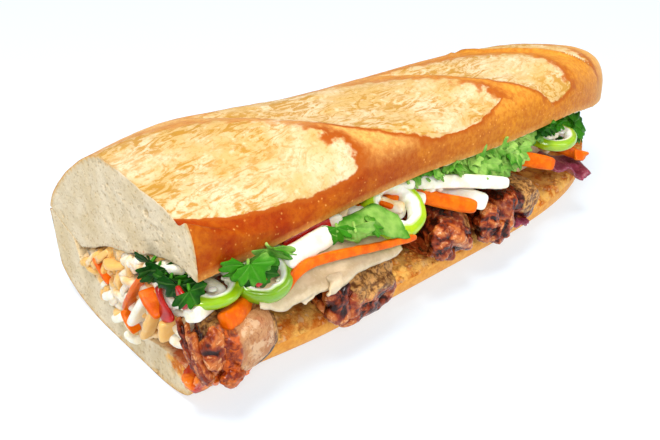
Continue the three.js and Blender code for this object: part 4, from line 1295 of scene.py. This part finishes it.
def coriander():
    toward = (-0.6, -0.65, 0.45)
    outward = (-0.3, -0.65, 0.75)
    shape = Bundle()
    for at, growth, size, leaves, tone, seed in [
        ((-3.0, -22.6, 37.6), (-0.2, 0.5, -0.9), 3.8, 2, 0.1, 1),
        ((-3.4, -26.4, 38.0), (-0.2, -0.1, -0.9), 4.4, 2, 0.0, 2),
        ((-3.2, -29.4, 38.6), (-0.3, -0.1, -0.95), 4.6, 1, 0.04, 21),
        ((-3.6, -31.4, 37.4), (-0.1, 0.1, -0.95), 4.0, 2, 0.12, 3),
        ((-4.0, -35.2, 37.4), (-0.1, -0.2, -0.95), 4.2, 2, 0.0, 4),
        ((-3.8, -38.8, 37.6), (0.2, -0.3, -0.9), 3.6, 1, 0.12, 5),
        ((8.4, -44.4, 41.6), (-0.1, -0.2, -0.9), 5.8, 2, 0.5, 8),
        ((11.0, -45.0, 38.6), (0.1, -0.3, -0.95), 4.4, 1, 0.05, 9),
        ((16.0, -42.2, 42.2), (0.4, -0.2, -0.8), 5.6, 2, 0.66, 10),
        ((39.6, -46.6, 40.2), (0.15, -0.15, -1), 5.0, 1, 0.72, 12),
        ((36.4, -43.6, 40.4), (-0.1, -0.3, -0.9), 4.6, 1, 0.5, 13),
        ((45.6, -46.0, 38.8), (0.9, -0.15, 0.1), 4.0, 1, 0.55, 14),
    ]:
        sprig(shape, at, growth, toward, size, leaves, tone, seed)
    blade = slice_sheet([(35, -43.4, 38.4), (42, -46.6, 36.4), (50, -48.0, 34.6), (58, -48.6, 31.8)],
                        [(42, -39.6, 39.4), (48, -39.6, 39.6), (54, -40.4, 39.2), (58, -44, 36.4)],
                        0.7, 0.7, 3, 9, 80, 30, 0.08)
    shape.add(blade, vein=0.0, tone=0.72)
    draw = random.Random(31)
    for k in range(26):
        x = 73 + 2.7 * k + draw.uniform(-1.2, 1.2)
        y = -37.6 * float(taper(x, TOP_LENGTH)) - draw.uniform(0.5, 3.2)
        z = float(underside(x, -38.0)) - draw.uniform(0.6, 3.4)
        growth = (draw.uniform(-0.6, 1.0), -0.5, draw.uniform(-0.6, 0.0))
        tone = 0.9 if x < 128 else 0.3
        sprig(shape, (x, y + 2.2, z), growth, outward, draw.uniform(3.6, 5.0), 2,
              tone + draw.uniform(-0.1, 0.15), 40 + k)
    for k in range(8):
        x = 94 + 3.0 * k + draw.uniform(-1.0, 1.0)
        roof = float(underside(x, -38.0))
        at = (x, -40.5 * float(taper(x, TOP_LENGTH)), roof - draw.uniform(3.0, 6.0))
        growth = (draw.uniform(-0.2, 1.0), -0.4, draw.uniform(-0.8, -0.1))
        sprig(shape, at, growth, outward, 4.8, 2, 0.85 + draw.uniform(-0.2, 0.2), 90 + k)
    for seed, at in enumerate([
        (157, -28.5, 31.5), (162, -27.5, 30.0), (166, -28, 28.5), (160, -32, 30.5),
    ], 81):
        sprig(shape, at, (0.75, -0.5, -0.25), (-0.3, -0.6, 0.8), 5.6, 3, 0.35, seed)
    for seed, at in enumerate([(174, -15, 25.5), (177, -6, 23.0), (178, 3, 21.5)], 85):
        sprig(shape, at, (0.5, 0.3, -0.8), (0.9, -0.2, 0.4), 5.0, 2, 0.3, seed)
    shape.piece("coriander_leaves", CORIANDER, slot="chilli")


coriander()


# ------------------------------------------------------------------ sauce and crumbs
def sauce_material():
    s = Shader("sauce", roughness=0.12, Specular_IOR_Level=0.6, Coat_Weight=0.4, Coat_Roughness=0.05,
               Subsurface_Weight=0.2, Subsurface_Radius=(1.0, 0.3, 0.1), Subsurface_Scale=0.002)
    colour = s.blend(s.step(s.noise(4, 4), 0.4, 0.62), linear(232, 122, 26), linear(176, 40, 4))
    return s.finish(colour, None, s.bump(s.noise(1.6, 3), 0.25, 0.0005))


SAUCE = sauce_material()


def puddle(centre, reach, seed):
    """A thin pool that follows the inside of the bottom half."""
    a = circle(60)[None]
    r = np.linspace(0.04, 1, 14)[:, None]
    wave = 1 + 0.35 * fbm(np.stack([np.cos(a) * 1.6 + seed, np.sin(a) * 1.6, 0 * a], -1), seed, 3)
    x = centre[0] + reach[0] * r * np.cos(a) * wave
    y = centre[1] + reach[1] * r * np.sin(a) * wave
    drop = np.maximum(0, -36.4 - y)
    z = inner_face(x, np.clip(y, -36.4, 20)) - 0.9 * drop + 0.2
    y = np.maximum(y, -37.6 - 0.2 * drop)
    height = 0.7 * np.sqrt(np.maximum(0.02, 1 - r ** 3))
    height = height + 0.25 * fbm(np.stack([x / 3, y / 3, 0 * x], -1), seed, 2)
    top = surface(x, y, z + height)
    low = surface(x, y, z - 0.5)
    return np.concatenate([low, top[::-1]], axis=0)


def sauces():
    shape = Bundle()
    shape.add(puddle((1.5, -35), (7, 4), 1))
    shape.add(puddle((9, -37), (8, 3), 2))
    for seed, (at, radii) in enumerate([
        ((0.0, -41.0, 13.0), (2.8, 1.6, 1.5)),
        ((5.6, -42.8, 12.4), (3.0, 1.4, 1.1)),
        ((-2.4, -38.6, 12.2), (2.0, 1.4, 1.6)),
    ], 3):
        shape.add(blob(at, radii, seed, 30, 40, 0.35, 0, 2.2))
    shape.piece("sauce_pools", SAUCE, slot="pork")


sauces()


def crumbs():
    draw = random.Random(77)
    shape = Bundle()
    for k in range(200):
        x = draw.uniform(2, 178)
        yn = draw.choice((-36.6, -33, -30)) + draw.uniform(-1.2, 2.2)
        k_bottom = float(taper(x, BOTTOM_LENGTH))
        z = float(inner_face(x, yn)) + 0.2
        size = draw.uniform(0.3, 0.95)
        if 64 < x < 72 and draw.random() < 0.8:
            size *= 1.7
        lip = 1 - 0.11 * (1 - float(smooth(x / 45)))
        radii = (size, size * 0.8, size * 0.7)
        crumb = blob((x, yn * k_bottom * lip, z), radii, k, 7, 9, 0.5, 360 * draw.random(), 2.5)
        shape.add(crumb, toast=draw.choice((0.7, 1.0, 1.3)), sauce=0.0, pit=0.0, rim=9.0)
    shape.piece("bread_crumbs", INNER, slot="crust")


crumbs()


# ------------------------------------------------------------------ camera, floor and light
VIEW_TURN = math.radians(43.3)
VIEW_DOWN = math.radians(27.5)
forward = Vector((math.sin(VIEW_TURN) * math.cos(VIEW_DOWN), math.cos(VIEW_TURN) * math.cos(VIEW_DOWN),
                  -math.sin(VIEW_DOWN)))
right = Vector((math.cos(VIEW_TURN), -math.sin(VIEW_TURN), 0))
above = right.cross(forward)
AIM = Vector((44.9, -32.2, 35.0))  # where the camera looks, in loaf mm
DISTANCE = 0.2211
eye = (AIM + Vector(SHIFT)) / 1000 - forward * DISTANCE
camera_data = bpy.data.cameras.new("camera")
camera_data.lens = 46.36
camera_data.sensor_width = 36
camera_data.clip_start = 0.01
camera = bpy.data.objects.new("camera", camera_data)
bpy.context.scene.collection.objects.link(camera)
camera.matrix_world = Matrix((
    (right.x, above.x, -forward.x, eye.x),
    (right.y, above.y, -forward.y, eye.y),
    (right.z, above.z, -forward.z, eye.z),
    (0, 0, 0, 1),
))
bpy.context.scene.camera = camera

floor_shader = Shader("floor", roughness=0.6, Specular_IOR_Level=0.1,
                      Emission_Color=(0.955, 0.975, 1.0, 1.0), Emission_Strength=0.62)
floor_tone = floor_shader.blend(floor_shader.noise(400, 2), linear(157, 171, 183), linear(160, 174, 186))
floor_material = floor_shader.finish(floor_tone)
floor_mesh = bpy.data.meshes.new("floor")
FLOOR_HALF = 3
FLOOR_Z = -0.0002
corners = [(x * FLOOR_HALF, y * FLOOR_HALF, FLOOR_Z) for x, y in ((-1, -1), (1, -1), (1, 1), (-1, 1))]
floor_mesh.from_pydata(corners, [], [(0, 1, 2, 3)])
floor_mesh.materials.append(floor_material)
floor = bpy.data.objects.new("floor", floor_mesh)
bpy.context.scene.collection.objects.link(floor)

world = bpy.data.worlds.new("studio")
bpy.context.scene.world = world
world.use_nodes = True
sky = world.node_tree
direction = sky.nodes.new("ShaderNodeTexCoord")
parts = sky.nodes.new("ShaderNodeSeparateXYZ")
height = sky.nodes.new("ShaderNodeMapRange")
height.interpolation_type = "SMOOTHSTEP"
height.inputs["From Min"].default_value = 0.0
height.inputs["From Max"].default_value = 0.8
tone = sky.nodes.new("ShaderNodeMix")
tone.data_type = "RGBA"
tone.inputs[6].default_value = (0.22, 0.225, 0.23, 1)
tone.inputs[7].default_value = (0.98, 0.99, 1.0, 1)
sky.links.new(direction.outputs["Generated"], parts.inputs[0])
sky.links.new(parts.outputs["Z"], height.inputs["Value"])
sky.links.new(height.outputs[0], tone.inputs["Factor"])
sky.links.new(tone.outputs[2], sky.nodes["Background"].inputs["Color"])
sky.nodes["Background"].inputs["Strength"].default_value = 0.6


def area_light(name, place, target, size, power, tint=(1, 1, 1)):
    data = bpy.data.lights.new(name, "AREA")
    data.shape = "DISK"
    data.size = size
    data.energy = power
    data.color = tint
    lamp = bpy.data.objects.new(name, data)
    lamp.location = place
    lamp.rotation_euler = (Vector(target) - Vector(place)).to_track_quat("-Z", "Y").to_euler()
    bpy.context.scene.collection.objects.link(lamp)


area_light("key", (-0.35, -0.15, 1.1), (0, 0, 0), 0.45, 9.5, (1, 0.985, 0.96))
area_light("glint", (-0.5, -0.55, 0.5), (0, 0, 0.03), 0.12, 2.6)
area_light("front", (0.25, -1.0, 0.45), (0, 0, 0.03), 0.6, 3.2)
bpy.context.scene.view_settings.view_transform = "Standard"
